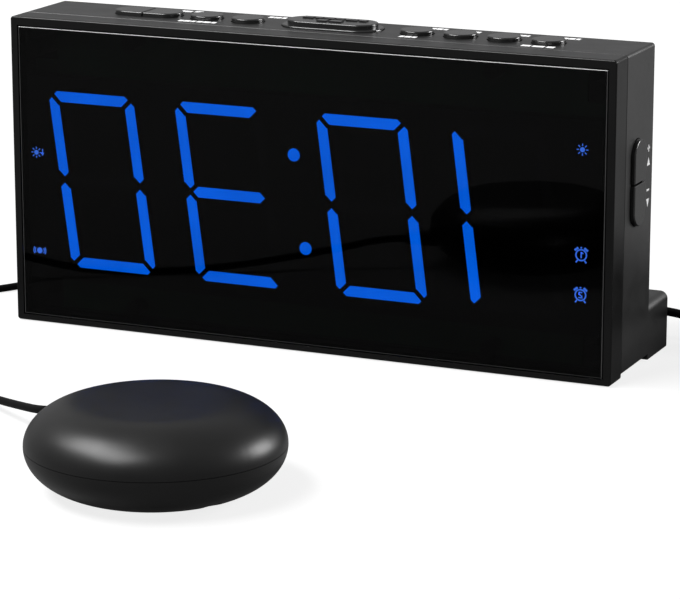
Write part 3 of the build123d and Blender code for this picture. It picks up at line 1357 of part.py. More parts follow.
puck_head_seat = Plane(origin=(0, 0, PUCK_HEAD_SEAT_Z), x_dir=(1, 0, 0), z_dir=(0, 0, -1))
puck_screws = screws([
    (
        puck_head_seat,
        [(x, -y) for x, y in PUCK_POSTS],
        HEAD_D,
        PUCK_SCREW_D,
        HEAD_T,
        PUCK_SHANK_TOP_Z - PUCK_HEAD_SEAT_Z,
    ),
    (
        Plane.XY.offset(CLAMP_TOP_Z),
        CLAMP_SCREWS,
        SMALL_HEAD_D,
        SMALL_SCREW_D,
        SMALL_HEAD_T,
        CLAMP_T + SMALL_THREAD,
    ),
])
save(puck_screws, "puck_screws")

# Cord grommet of the shaker: a flange inside the wall and a tapered sleeve outside
with BuildPart() as puck_grommet:
    extrude(exit_disc(GROMMET_START, GROMMET_D / 2), amount=PUCK_WALL + GROMMET_IN)
    extrude(exit_disc(GROMMET_START, GROMMET_D / 2 + GROMMET_FLANGE_GROW), amount=GROMMET_FLANGE_T)
    loft([exit_disc(PUCK_CENTRE + EXIT_DIR * PUCK_R, GROMMET_D / 2).face(),
          exit_disc(GROMMET_END, GROMMET_END_D / 2).face()])

save(puck_grommet, "puck_grommet")


def corner_radii(points):
    """Radius of each corner of a cord: 0.45 of its shorter run over the tangent of half its turn."""
    corners = [Vector(*point) for point in points]
    radii = []
    for before, here, after in zip(corners, corners[1:], corners[2:]):
        turn = math.radians((here - before).get_angle(after - here))
        radii.append(0.45 * min((here - before).length, (after - here).length) / math.tan(turn / 2))
    return radii


def tube(points, diameter):
    """Round tube along straight runs joined by tangent arcs."""
    with BuildPart() as cord:
        with BuildLine() as path:
            FilletPolyline(*points, radius=corner_radii(points))
        with BuildSketch(Plane(path.line @ 0, z_dir=path.line % 0)):
            Circle(diameter / 2)
        sweep()
    return cord


def along(point, heading, distance):
    """Point at a distance along a heading."""
    return tuple(Vector(*point) + Vector(*heading) * distance)


# Wires inside the clock, from its sockets and its speaker to the main board, and the motor's lead
WIRE_D = 1.2
MOTOR_LEAD_D = 1.6
LAND_DEPTH = MAIN_BOARD_BACK + WIRE_D / 2
SPEAKER_SIDE_X = SPEAKER_PLACE[0] + SPEAKER_CAN_R
SPEAKER_SIDE_DEPTH = (SPEAKER_FRONT + FLANGE_FRONT) / 2
TERMINAL_SIDE = 3.0
TERMINAL_RISE = 2.5
LEAD_RUN = 4.0
LEAD_BULGE = 1.1
DC_LAND_SHARES = (0.909, 0.06)
DC_WAY_SHARES = ((0, 0.407, 0), (0.25, 0.736, 0.171), (0.75, 0.929, 0.548))
SHAKER_LAND_SHARES = (0.073, 0.28)
SHAKER_WAY_SHARES = ((0, 0.462, 0), (0.333, 0.681, 0.191), (0.667, 0.846, 0.579))
USB_LAND_SHARES = (0.673, 0.06)
USB_WAY_SHARES = ((0, 0.465, 0), (0.25, 0.762, 0.196), (0.75, 0.936, 0.548))
SPEAKER_LAND_SHARES = (0.036, 0.72)
SPEAKER_WAY_SHARES = ((0.273, 0, 0), (0.591, 0.662, 0.75))
WIRES = (
    ((DC_X, JACK_FRONT, JACK_Z), DC_LAND_SHARES, DC_WAY_SHARES),
    ((SHAKER_X, JACK_FRONT, JACK_Z), SHAKER_LAND_SHARES, SHAKER_WAY_SHARES),
    ((USB_X, USB_FRONT, JACK_Z), USB_LAND_SHARES, USB_WAY_SHARES),
    ((SPEAKER_SIDE_X, SPEAKER_SIDE_DEPTH, SPEAKER_Z), SPEAKER_LAND_SHARES, SPEAKER_WAY_SHARES),
)


def wire_way(start, land_shares, way_shares):
    """Points of a wire from its start to the main board's back; a start is X, depth and Z."""
    land_x, land_z = on_main_board(*land_shares)
    end = (land_x, LAND_DEPTH, land_z)
    points = []
    for shares in ((0, 0, 0), *way_shares, (1, 1, 1)):
        x, depth, z = (a + share * (b - a) for a, b, share in zip(start, end, shares))
        points.append((x, y_at(depth), z))
    return points


MOTOR_END = Vector(PUCK_X + MOTOR_LEFT, PUCK_Y + TERMINAL_SIDE, MOTOR_Z + TERMINAL_RISE)
LEAD_START = MOTOR_END - Vector(LEAD_RUN, 0, 0)
LEAD_END = GROMMET_START - EXIT_DIR * LEAD_RUN
LEAD_MIDDLE = (LEAD_START + LEAD_END) / 2 - Vector(LEAD_BULGE, 0, 0)
MOTOR_WIRE = [tuple(point) for point in (MOTOR_END, LEAD_START, LEAD_MIDDLE, LEAD_END, GROMMET_START)]

with BuildPart() as internal_wires:
    for wire in WIRES:
        add(tube(wire_way(*wire), WIRE_D).part)
    add(tube(MOTOR_WIRE, MOTOR_LEAD_D).part)

save(internal_wires, "internal_wires")

# Right-angled plugs behind the foot
PLUG_D = 9.6
PLUG_L = 11.3
PLUG_EDGE_R = 1.6
RELIEF_END_SHARE = 0.75
PLUG_GAP = 0.3
PLUG_AXIS_L = 6.4
RELIEF_REACH = 18.3
RELIEF_D = 6.4
BARREL_FIT = 0.1
BARREL_L = 9.6
PLUG_START = FOOT_D + PLUG_GAP
PLUG_Y = y_at(PLUG_START + PLUG_AXIS_L)


def plug(x, side, bore_d, cord_d):
    """Plug in a socket, with its cord's sleeve to one side."""
    with BuildPart() as body:
        with BuildSketch(behind(PLUG_START)):
            with Locations((x, JACK_Z)):
                Circle(PLUG_D / 2)
        extrude(amount=-PLUG_L)
        fillet(body.faces().sort_by(Axis.Y)[-1].edges(), PLUG_EDGE_R)
        sleeve = Plane(origin=(x, PLUG_Y, JACK_Z), x_dir=(0, 1, 0), z_dir=(side, 0, 0))
        with BuildSketch(sleeve):
            Circle(RELIEF_D / 2)
        with BuildSketch(sleeve.offset(RELIEF_REACH)):
            Circle(cord_d * RELIEF_END_SHARE)
        loft()
        with BuildSketch(behind(PLUG_START)):
            with Locations((x, JACK_Z)):
                Circle(bore_d / 2 - BARREL_FIT)
        extrude(amount=BARREL_L)
        if bore_d > 2 * DC_PIN_D:
            with BuildSketch(behind(PLUG_START)):
                with Locations((x, JACK_Z)):
                    Circle(DC_PIN_D / 2 + BARREL_FIT)
            extrude(amount=BARREL_L, mode=Mode.SUBTRACT)
    return body


save(plug(SHAKER_X, -1, SHAKER_BORE_D, SHAKER_CORD), "shaker_plug")
save(plug(DC_X, 1, DC_BORE_D, POWER_CORD), "power_plug")

# Coils of the cord that lies out of sight: flat half turns that spiral in and out in layers,
# with a tilted half turn that climbs a layer where the spiral reverses
COIL_TURNS_PER_LAYER = 7
TIE_T = 0.6
TIE_GAP = 0.35
TIE_W = 3.0
TIE_CLEAR = 0.05
TIE_LIFT = TIE_T + TIE_GAP + TIE_CLEAR
SHAKER_PITCH = 3.25
SHAKER_COIL_R = 19.8
SHAKER_COIL_X = -137.0
SHAKER_COIL_Y = 44.0
SHAKER_COIL_ANGLE = 139.5
SHAKER_HALF_TURNS = 30
SHAKER_TIE_ANGLES = (300, 5)
POWER_PITCH = 3.65
POWER_COIL_R = 21.0
POWER_COIL_X = 140.0
POWER_COIL_Y = 96.0
POWER_COIL_ANGLE = 90
POWER_HALF_TURNS = 30
POWER_TIE_ANGLES = (210, 330)
COIL_LAYERS = 4
GAP_STEPS = 18


class Coil:
    """Route of a piled coil, from its straight start to its straight end."""

    def __init__(self, x, y, angle, turning, cord, pitch, outer_r, half_turns, quarter):
        self.cord, self.pitch, self.outer_r = cord, pitch, outer_r
        self.inner_r = outer_r - COIL_TURNS_PER_LAYER * pitch / 2
        self.base_z = cord / 2 + TIE_LIFT
        self.centre = Vector(x, y, 0)
        out = Vector(math.cos(math.radians(angle)), math.sin(math.radians(angle)), 0)
        ahead = Vector(-out.Y, out.X, 0) * turning
        self.arcs = []
        radius, height, side, step = outer_r, self.base_z, 1, -pitch / 2
        for turn in range(half_turns + quarter):
            climbs = turn % (COIL_TURNS_PER_LAYER + 1) == COIL_TURNS_PER_LAYER
            start = self.centre + out * (side * radius) + Vector(0, 0, height)
            if climbs:
                height += pitch
                step = -step
            else:
                radius += step
            end = self.centre - out * (side * radius) + Vector(0, 0, height)
            middle, reach = (start + end) / 2, (end - start).length / 2
            if turn == half_turns:
                end = middle + ahead * (side * reach)
                bulge = middle + ((start - middle) + (end - middle)) * math.sqrt(0.5)
                self.arcs.append((start, bulge, end))
                self.heading_out = out * -side
            else:
                self.arcs.append((start, middle + ahead * (side * reach), end))
                self.heading_out = ahead * -side
            side = -side
        self.heading_in = ahead
        self.entry = self.arcs[0][0] - ahead * cord
        self.exit = self.arcs[-1][2] + self.heading_out * cord

    def least_gap(self):
        """Least gap of the cord to itself, on points of the route."""
        points = []
        for start, middle, end in self.arcs:
            arc = Edge.make_three_point_arc(start, middle, end)
            points += [tuple(arc @ (step / GAP_STEPS)) for step in range(GAP_STEPS)]
        skip = 3 * GAP_STEPS // 2
        gaps = [math.dist(a, b) for i, a in enumerate(points) for b in points[i + skip:]]
        return min(gaps) - self.cord


def wind(coil):
    """One unbroken tube along a coil's route."""
    with BuildPart() as winding:
        with BuildLine() as path:
            Line(coil.entry, coil.arcs[0][0])
            for start, middle, end in coil.arcs:
                ThreePointArc(start, middle, end)
            Line(coil.arcs[-1][2], coil.exit)
        with BuildSketch(Plane(path.line @ 0, z_dir=path.line % 0)):
            Circle(coil.cord / 2)
        sweep()
    return winding


shaker_route = Coil(
    SHAKER_COIL_X, SHAKER_COIL_Y, SHAKER_COIL_ANGLE, 1, SHAKER_CORD, SHAKER_PITCH, SHAKER_COIL_R,
    SHAKER_HALF_TURNS, 1,
)
power_route = Coil(
    POWER_COIL_X, POWER_COIL_Y, POWER_COIL_ANGLE, -1, POWER_CORD, POWER_PITCH, POWER_COIL_R,
    POWER_HALF_TURNS, 0,
)
shaker_coil = wind(shaker_route)
power_coil = wind(power_route)
save(shaker_coil, "shaker_coil")
save(power_coil, "power_coil")

with BuildPart() as cord_ties:
    for coil, angles in ((shaker_route, SHAKER_TIE_ANGLES), (power_route, POWER_TIE_ANGLES)):
        width = coil.outer_r - coil.inner_r + coil.cord + 2 * TIE_GAP
        height = (COIL_LAYERS - 1) * coil.pitch + coil.cord + 2 * TIE_GAP
        middle_r = (coil.outer_r + coil.inner_r) / 2
        middle_z = coil.base_z + (COIL_LAYERS - 1) * coil.pitch / 2
        for angle in angles:
            out = Vector(math.cos(math.radians(angle)), math.sin(math.radians(angle)), 0)
            place = coil.centre + out * middle_r + Vector(0, 0, middle_z)
            with BuildSketch(Plane(place, x_dir=out, z_dir=(-out.Y, out.X, 0))):
                Rectangle(width + 2 * TIE_T, height + 2 * TIE_T)
                Rectangle(width, height, mode=Mode.SUBTRACT)
            extrude(amount=TIE_W / 2, both=True)

save(cord_ties, "cord_ties")

# Wall adapter at the end of the power cord, with its blades and its board
ADAPTER_X = 134.0
ADAPTER_Y = 145.5
ADAPTER_L = 40.0
ADAPTER_W = 31.0
ADAPTER_H = 24.0
ADAPTER_WALL = 2.2
ADAPTER_EDGE_R = 2.0
ADAPTER_INLET_Z = 7.0
ADAPTER_RELIEF_L = 5.0
ADAPTER_RELIEF_D = 5.0
BLADE_L = 17.0
BLADE_W = 6.4
BLADE_T = 1.6
BLADE_SPACING = 12.7
ADAPTER_RIB_H = 2.0
ADAPTER_BOARD_L = 32.0
ADAPTER_BOARD_W = 24.0
TRANSFORMER_L = 14.0
TRANSFORMER_H = 11.0
ADAPTER_LEFT = ADAPTER_X - ADAPTER_L / 2
ADAPTER_RIGHT = ADAPTER_X + ADAPTER_L / 2
ADAPTER_BOARD_Z = ADAPTER_WALL + ADAPTER_RIB_H
BLADE_PLACES = [(ADAPTER_Y + side * BLADE_SPACING / 2, ADAPTER_H / 2) for side in (-1, 1)]

with BuildPart() as adapter_case:
    with BuildSketch():
        with Locations((ADAPTER_X, ADAPTER_Y)):
            Rectangle(ADAPTER_L, ADAPTER_W)
    extrude(amount=ADAPTER_H)
    fillet(adapter_case.edges(), ADAPTER_EDGE_R)
    with BuildSketch(Plane.XY.offset(ADAPTER_WALL)):
        with Locations((ADAPTER_X, ADAPTER_Y)):
            Rectangle(ADAPTER_L - 2 * ADAPTER_WALL, ADAPTER_W - 2 * ADAPTER_WALL)
    extrude(amount=ADAPTER_H - 2 * ADAPTER_WALL, mode=Mode.SUBTRACT)
    with BuildSketch(Plane.XY.offset(ADAPTER_WALL)):
        with Locations((ADAPTER_X, ADAPTER_Y)):
            with GridLocations(ADAPTER_L / 2, 0, 2, 1):
                Rectangle(ADAPTER_WALL, ADAPTER_W - 2 * ADAPTER_WALL)
    extrude(amount=ADAPTER_RIB_H)
    with BuildSketch(from_right(ADAPTER_LEFT)):
        with Locations(*BLADE_PLACES):
            Rectangle(BLADE_T + FIT, BLADE_W + FIT)
    extrude(amount=ADAPTER_WALL, mode=Mode.SUBTRACT)
    with BuildSketch(from_right(ADAPTER_RIGHT)):
        with Locations((ADAPTER_Y, ADAPTER_INLET_Z)):
            Circle(ADAPTER_RELIEF_D / 2)
    with BuildSketch(from_right(ADAPTER_RIGHT + ADAPTER_RELIEF_L)):
        with Locations((ADAPTER_Y, ADAPTER_INLET_Z)):
            Circle(POWER_CORD * RELIEF_END_SHARE)
    loft()

save(adapter_case, "adapter_case")

with BuildPart() as adapter_prongs:
    with BuildSketch(from_right(ADAPTER_LEFT - BLADE_L)):
        with Locations(*BLADE_PLACES):
            Rectangle(BLADE_T, BLADE_W)
    extrude(amount=BLADE_L + 2 * ADAPTER_WALL)
    chamfer(adapter_prongs.faces().sort_by(Axis.X)[:2].edges(), BLADE_T / 4)

save(adapter_prongs, "adapter_prongs")

with BuildPart() as adapter_board:
    with BuildSketch(Plane.XY.offset(ADAPTER_BOARD_Z)):
        with Locations((ADAPTER_X, ADAPTER_Y)):
            Rectangle(ADAPTER_BOARD_L, ADAPTER_BOARD_W)
    extrude(amount=BOARD_T)
    with BuildSketch(Plane.XY.offset(ADAPTER_BOARD_Z + BOARD_T)):
        with Locations((ADAPTER_X, ADAPTER_Y)):
            Rectangle(TRANSFORMER_L, TRANSFORMER_L)
    extrude(amount=TRANSFORMER_H)

save(adapter_board, "adapter_board")

# Free stretches of the cords: points chosen along their ways, run in square to plugs and coils
END_RUN = 8.2
SHAKER_LEAD_POINTS = [
    (-104.4, 119.6, 6.9),
    (-110.6, 111.6, 3.6),
    (-115.4, 101.2, 1.7),
    (-123.7, 89.1, 1.25),
    (-134.8, 75.6, 1.5),
]
PUCK_LEAD_POINTS = [
    (-130.5, 13.9, 9.4),
    (-119.8, 6.8, 5.4),
    (-108.0, 0.6, 2.4),
    (-95.5, -6.3, 1.3),
    (-83.5, -13.0, 1.25),
    (-72.8, -19.9, 1.7),
    (-62.5, -27.0, 2.6),
    (-51.2, -35.2, 4.0),
    (-39.3, -43.8, 6.0),
    (-30.4, -50.1, 7.6),
]
POWER_LEAD_POINTS = [
    (109.5, 120.9, 6.9),
    (118.5, 118.8, 3.8),
]
POWER_TAIL_POINTS = [
    (161.0, 116.4, 10.2),
    (169.6, 119.8, 7.2),
    (175.2, 126.8, 4.6),
    (177.0, 135.0, 4.2),
    (174.5, 142.0, 5.6),
]
SHAKER_PLUG_EXIT = (SHAKER_X - RELIEF_REACH, PLUG_Y, JACK_Z)
POWER_PLUG_EXIT = (DC_X + RELIEF_REACH, PLUG_Y, JACK_Z)
ADAPTER_INLET = (ADAPTER_RIGHT + ADAPTER_RELIEF_L, ADAPTER_Y, ADAPTER_INLET_Z)


def run(point, heading):
    """Straight end run of a cord: its end and the point where it starts to bend."""
    return [tuple(point), along(point, heading, END_RUN)]


CORD_WAYS = {
    "shaker_lead": [
        *run(SHAKER_PLUG_EXIT, (-1, 0, 0)),
        *SHAKER_LEAD_POINTS,
        *reversed(run(shaker_route.entry, -shaker_route.heading_in)),
    ],
    "puck_lead": [
        *run(shaker_route.exit, shaker_route.heading_out),
        *PUCK_LEAD_POINTS,
        *reversed(run(GROMMET_END, EXIT_DIR)),
    ],
    "power_lead": [
        *run(POWER_PLUG_EXIT, (1, 0, 0)),
        *POWER_LEAD_POINTS,
        *reversed(run(power_route.entry, -power_route.heading_in)),
    ],
    "power_tail": [
        *run(power_route.exit, power_route.heading_out),
        *POWER_TAIL_POINTS,
        *reversed(run(ADAPTER_INLET, (1, 0, 0))),
    ],
}

for name, way in CORD_WAYS.items():
    cord_d = POWER_CORD if "power" in name else SHAKER_CORD
    lead = tube(way, cord_d)
    save(lead, name)
    smallest = min(corner_radii(way)) / cord_d
    print(f"{name}: smallest bend {smallest:.1f} diameters, volume {lead.part.volume:.1f}")
    length = sum(math.dist(a, b) for a, b in zip(way, way[1:]))
    print(f"{name}: points span {length:.0f} mm, section by span {length * math.pi * cord_d ** 2 / 4:.1f}")

WOUND_COILS = (("shaker_coil", shaker_route, shaker_coil), ("power_coil", power_route, power_coil))
for name, coil, solid in WOUND_COILS:
    length = solid.part.volume / (math.pi * coil.cord ** 2 / 4)
    print(f"{name}: cord {length:.0f} mm, least gap to itself {coil.least_gap():.2f} mm")
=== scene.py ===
import math

import bmesh
import bpy
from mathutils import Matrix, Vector


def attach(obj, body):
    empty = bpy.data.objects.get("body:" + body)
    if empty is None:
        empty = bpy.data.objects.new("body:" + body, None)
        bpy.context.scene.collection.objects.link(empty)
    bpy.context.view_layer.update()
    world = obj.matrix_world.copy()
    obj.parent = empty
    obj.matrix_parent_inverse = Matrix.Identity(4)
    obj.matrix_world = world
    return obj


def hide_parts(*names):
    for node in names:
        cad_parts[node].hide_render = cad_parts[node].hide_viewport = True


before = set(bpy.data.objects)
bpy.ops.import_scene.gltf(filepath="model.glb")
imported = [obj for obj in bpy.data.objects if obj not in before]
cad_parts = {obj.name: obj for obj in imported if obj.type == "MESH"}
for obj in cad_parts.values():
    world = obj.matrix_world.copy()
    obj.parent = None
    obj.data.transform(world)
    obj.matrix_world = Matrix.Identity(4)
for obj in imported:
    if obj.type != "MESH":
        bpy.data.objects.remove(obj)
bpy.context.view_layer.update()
MM = 0.001

# Camera at the photograph's viewing angle, in millimetres and degrees
CAMERA_PLACE = (398.53, -807.64, 257.38)
CAMERA_YAW = 23.947
CAMERA_PITCH = 14.122
CAMERA_LENS = 170.48

camera_data = bpy.data.cameras.new("camera")
camera_data.lens = CAMERA_LENS
camera_data.clip_start = 0.05
camera = bpy.data.objects.new("camera", camera_data)
camera.location = Vector(CAMERA_PLACE) * MM
camera.rotation_euler = (math.radians(90 - CAMERA_PITCH), 0, math.radians(CAMERA_YAW))
bpy.context.collection.objects.link(camera)
bpy.context.scene.camera = camera


# Materials
NOISE_LOW = 0.3
NOISE_HIGH = 0.7
MOTTLE_SCALE = 60.0
GLOSS_SCALE = 140.0
BUMP_DETAIL = 2.0
BUMP_DEPTH = 0.0001
DIM_SHARE = 0.9


def noise(nodes, links, coords, scale, detail=3.0):
    """Noise texture in the object's own coordinates."""
    texture = nodes.new("ShaderNodeTexNoise")
    texture.inputs["Scale"].default_value = scale
    texture.inputs["Detail"].default_value = detail
    links.new(coords.outputs["Object"], texture.inputs["Vector"])
    return texture.outputs["Fac"]


def spread(nodes, links, value, low, high):
    """Map of a noise's middle range to two values."""
    remap = nodes.new("ShaderNodeMapRange")
    remap.inputs["From Min"].default_value = NOISE_LOW
    remap.inputs["From Max"].default_value = NOISE_HIGH
    remap.inputs["To Min"].default_value = low
    remap.inputs["To Max"].default_value = high
    links.new(value, remap.inputs["Value"])
    return remap.outputs["Result"]


def surface(name, dark, pale, rough, grain=2500.0, height=0.0, metallic=0.0, specular=0.5):
    """Moulded or metal surface: two mottled colours, uneven gloss and a fine grain."""
    material = bpy.data.materials.new(name)
    material.use_nodes = True
    nodes, links = material.node_tree.nodes, material.node_tree.links
    shader = nodes["Principled BSDF"]
    shader.inputs["Metallic"].default_value = metallic
    shader.inputs["Specular IOR Level"].default_value = specular
    coords = nodes.new("ShaderNodeTexCoord")
    colours = nodes.new("ShaderNodeMix")
    colours.data_type = "RGBA"
    colours.inputs["A"].default_value = (*dark, 1)
    colours.inputs["B"].default_value = (*pale, 1)
    mottle = spread(nodes, links, noise(nodes, links, coords, MOTTLE_SCALE), 0.0, 1.0)
    links.new(mottle, colours.inputs["Factor"])
    links.new(colours.outputs["Result"], shader.inputs["Base Color"])
    gloss = spread(nodes, links, noise(nodes, links, coords, GLOSS_SCALE), rough[0], rough[1])
    links.new(gloss, shader.inputs["Roughness"])
    if height:
        bump = nodes.new("ShaderNodeBump")
        bump.inputs["Strength"].default_value = height
        bump.inputs["Distance"].default_value = BUMP_DEPTH
        links.new(noise(nodes, links, coords, grain, BUMP_DETAIL), bump.inputs["Height"])
        links.new(bump.outputs["Normal"], shader.inputs["Normal"])
    return material


def smoked_glass(name, dark, pale, ior):
    """Clear polished pane, tinted all through."""
    material = surface(name, dark, pale, (0.0, 0.0))
    shader = material.node_tree.nodes["Principled BSDF"]
    material.node_tree.links.remove(shader.inputs["Roughness"].links[0])
    shader.inputs["Roughness"].default_value = 0.0
    shader.inputs["IOR"].default_value = ior
    shader.inputs["Transmission Weight"].default_value = 1.0
    return material


def glowing(name, colour, strength):
    """Lit window: an even glow with a little unevenness from its diffuser."""
    dim = [DIM_SHARE * part for part in colour]
    material = surface(name, dim, colour, (0.4, 0.5))
    nodes, links = material.node_tree.nodes, material.node_tree.links
    shader = nodes["Principled BSDF"]
    links.new(shader.inputs["Base Color"].links[0].from_socket, shader.inputs["Emission Color"])
    shader.inputs["Emission Strength"].default_value = strength
    return material


CASE = surface(
    "case_plastic", (0.004,) * 3, (0.006,) * 3, (0.36, 0.42), 3200, 0.12, specular=0.58
)
BEZEL = surface(
    "bezel_plastic", (0.0014,) * 3, (0.0022,) * 3, (0.30, 0.34), 3200, 0.03, specular=0.26
)
PUCK = surface(
    "puck_plastic", (0.004,) * 3, (0.006,) * 3, (0.35, 0.38), 4200, 0.04, specular=0.30
)
KEYS = surface(
    "key_plastic", (0.004,) * 3, (0.006,) * 3, (0.20, 0.24), 4200, 0.02, specular=0.7
)
RUBBER = surface(
    "rubber", (0.010,) * 3, (0.020,) * 3, (0.62, 0.75), 1800, 0.4, specular=0.3
)
CORD = surface(
    "cord_jacket", (0.002,) * 3, (0.004,) * 3, (0.40, 0.48), 2600, 0.05, specular=0.05
)
LENS = smoked_glass("smoked_lens", (0.095, 0.095, 0.10), (0.105, 0.105, 0.11), 1.2)
# Pale grey for the skin on the window's chamfer: a painted highlight line
PAINTED_EDGE_HIGHLIGHT = surface("painted_edge_highlight", (0.08,) * 3, (0.10,) * 3, (0.16, 0.22), specular=0.5)
LIT = glowing("lit_window", (0.0, 0.153, 1.0), 6.4)
ICON = glowing("lit_icon", (0.06, 0.22, 1.0), 6.4)
DARK = surface("dark_window", (0.006, 0.007, 0.010), (0.010, 0.011, 0.016), (0.5, 0.6))
SHADE = surface("reflector", (0.004,) * 3, (0.007,) * 3, (0.6, 0.7), specular=0.1)
WHITE = surface("white_plastic", (0.70, 0.70, 0.68), (0.80, 0.80, 0.78), (0.45, 0.55), 2600, 0.1)
PRINT = surface("white_print", (0.84,) * 3, (0.90,) * 3, (0.5, 0.6), 5200, 0.2)
BOARD = surface("board", (0.012, 0.085, 0.030), (0.018, 0.12, 0.045), (0.30, 0.42), 1500, 0.3)
CHIP = surface("chip", (0.012, 0.012, 0.013), (0.025, 0.025, 0.027), (0.45, 0.6), 2600, 0.3)
STEEL = surface(
    "steel", (0.52, 0.52, 0.53), (0.62, 0.62, 0.63), (0.26, 0.38), 2200, 0.12, metallic=1.0
)
CHROME = surface(
    "chrome", (0.70, 0.70, 0.71), (0.78, 0.78, 0.79), (0.08, 0.16), 2200, 0.03, metallic=1.0
)
BRASS = surface(
    "brass", (0.62, 0.44, 0.18), (0.74, 0.55, 0.26), (0.22, 0.36), 2200, 0.1, metallic=1.0
)
IRON = surface(
    "iron", (0.16, 0.16, 0.17), (0.24, 0.24, 0.25), (0.42, 0.56), 1500, 0.4, metallic=1.0
)
PAPER = surface(
    "cone_paper", (0.018,) * 3, (0.04,) * 3, (0.75, 0.9), 900, 0.8, specular=0.2
)

FINISHES = {
    CASE: ["mid_case", "rear_cover", "battery_door", "adapter_case", "cord_ties"],
    BEZEL: ["front_bezel"],
    PUCK: ["puck_top_shell", "puck_bottom_shell"],
    KEYS: [
        "pill_key_left", "pill_key_right", "volume_down_key", "volume_up_key", "snooze_bar",
        *[f"round_key_{number}" for number in range(1, 7)],
    ],
    RUBBER: ["rubber_feet", "puck_grommet"],
    CORD: ["shaker_plug", "power_plug", "internal_wires"],
    LENS: ["display_lens"],
    LIT: ["lit_segments"],
    DARK: ["unlit_segments", "indicator_windows"],
    SHADE: ["light_reflector"],
    WHITE: ["segment_leds"],
    BOARD: ["display_board", "main_board", "key_board", "volume_board", "adapter_board"],
    CHIP: ["board_chips", "board_links", "key_switches", "dc_jack", "shaker_jack"],
    STEEL: [
        "case_screws", "board_screws", "puck_screws", "motor_can", "motor_clamp", "usb_port",
        "speaker_frame",
    ],
    CHROME: ["adapter_prongs", "coin_cell", "cell_clip"],
    BRASS: ["eccentric_weight"],
    IRON: ["motor_shaft", "speaker_magnet"],
    PAPER: ["speaker_cone"],
}

for finish, names in FINISHES.items():
    for name in names:
        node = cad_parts[name]
        for place in node.material_slots:
            place.material = finish


# Cords: the route's points of the CAD source, in millimetres
END_RUN = 8.2
SHAKER_CORD = 2.4
POWER_CORD = 2.7
TURN_STEPS = 6
TURNS_PER_LAYER = 7


def coil(x, y, angle, turning, cord, pitch, outer_r, base_z, half_turns, quarter):
    """Points of a piled coil with its straight ends, twelve to a turn."""
    centre = Vector((x, y, 0))
    out = Vector((math.cos(math.radians(angle)), math.sin(math.radians(angle)), 0))
    ahead = Vector((-out.y, out.x, 0)) * turning
    swell = 1 / math.cos(math.pi / TURN_STEPS / 2)
    first = centre + out * outer_r + Vector((0, 0, base_z))
    points = [first - ahead * (cord + END_RUN), first - ahead * cord]
    radius, height, side, step = outer_r, base_z, 1, -pitch / 2
    for turn in range(half_turns + quarter):
        start = centre + out * (side * radius) + Vector((0, 0, height))
        if turn % (TURNS_PER_LAYER + 1) == TURNS_PER_LAYER:
            height += pitch
            step = -step
        else:
            radius += step
        end = centre - out * (side * radius) + Vector((0, 0, height))
        middle = (start + end) / 2
        across = start - middle
        bulge = ahead * (side * across.length)
        whole = turn < half_turns
        for number in range(TURN_STEPS if whole else TURN_STEPS // 2):
            t = math.pi * (number + 0.5) / TURN_STEPS
            points.append(middle + (across * math.cos(t) + bulge * math.sin(t)) * swell)
        last = end if whole else middle + bulge
        heading = -ahead * side if whole else -out * side
        side = -side
    points += [last + heading * cord, last + heading * (cord + END_RUN)]
    return points


def cord_curve(name, points, cord):
    """Smooth round cord along its route's points."""
    curve = bpy.data.curves.new(name, "CURVE")
    curve.dimensions = "3D"
    spline = curve.splines.new("NURBS")
    spline.points.add(len(points) - 1)
    for place, point in zip(spline.points, points):
        place.co = (*(Vector(point) * MM), 1)
    spline.use_endpoint_u = True
    spline.order_u = 3
    spline.resolution_u = 6
    curve.bevel_depth = cord / 2 * MM
    curve.bevel_resolution = 5
    curve.use_fill_caps = True
    curve.materials.append(CORD)
    piece = bpy.data.objects.new(name, curve)
    bpy.context.collection.objects.link(piece)
    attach(piece, "clock")
    return piece


SHAKER_PLUG_END = (-88.3, 122.2, 9.1)
GROMMET_END = (-16.03, -58.28, 9.4)
POWER_PLUG_END = (92.3, 122.2, 9.1)
ADAPTER_INLET = (159.0, 145.5, 7.0)
shaker_coil = coil(
    x=-137, y=44, angle=139.5, turning=1, cord=SHAKER_CORD,
    pitch=3.25, outer_r=19.8, base_z=2.2, half_turns=30, quarter=1,
)
power_coil = coil(
    x=140, y=96, angle=90, turning=-1, cord=POWER_CORD,
    pitch=3.65, outer_r=21.0, base_z=2.35, half_turns=30, quarter=0,
)
shaker_points = [
    SHAKER_PLUG_END,
    (-96.5, 122.2, 9.1),
    (-104.4, 119.6, 6.9),
    (-110.6, 111.6, 3.6),
    (-115.4, 101.2, 1.7),
    (-123.7, 89.1, 1.25),
    (-134.8, 75.6, 1.5),
    *shaker_coil,
    (-130.5, 13.9, 9.4),
    (-119.8, 6.8, 5.4),
    (-108.0, 0.6, 2.4),
    (-95.5, -6.3, 1.3),
    (-83.5, -13.0, 1.25),
    (-72.8, -19.9, 1.7),
    (-62.5, -27.0, 2.6),
    (-51.2, -35.2, 4.0),
    (-39.3, -43.8, 6.0),
    (-30.4, -50.1, 7.6),
    (-23.13, -54.18, 9.4),
    GROMMET_END,
]
power_points = [
    POWER_PLUG_END,
    (100.5, 122.2, 9.1),
    (109.5, 120.9, 6.9),
    (118.5, 118.8, 3.8),
    *power_coil,
    (161.0, 116.4, 10.2),
    (169.6, 119.8, 7.2),
    (175.2, 126.8, 4.6),
    (177.0, 135.0, 4.2),
    (174.5, 142.0, 5.6),
    (167.2, 145.5, 7.0),
    ADAPTER_INLET,
]
shaker_cord = cord_curve("shaker_cord", list(reversed(shaker_points)), SHAKER_CORD)
power_cord = cord_curve("power_cord", power_points, POWER_CORD)
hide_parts("shaker_lead", "shaker_coil", "puck_lead")
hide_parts("power_lead", "power_coil", "power_tail")

# Marks: flat shapes as lists of outlines, in millimetres on their face
CLOCK_W = 200.0
CLOCK_H = 98.0
FRONT_Y = 61.1
ARC_STEPS = 10


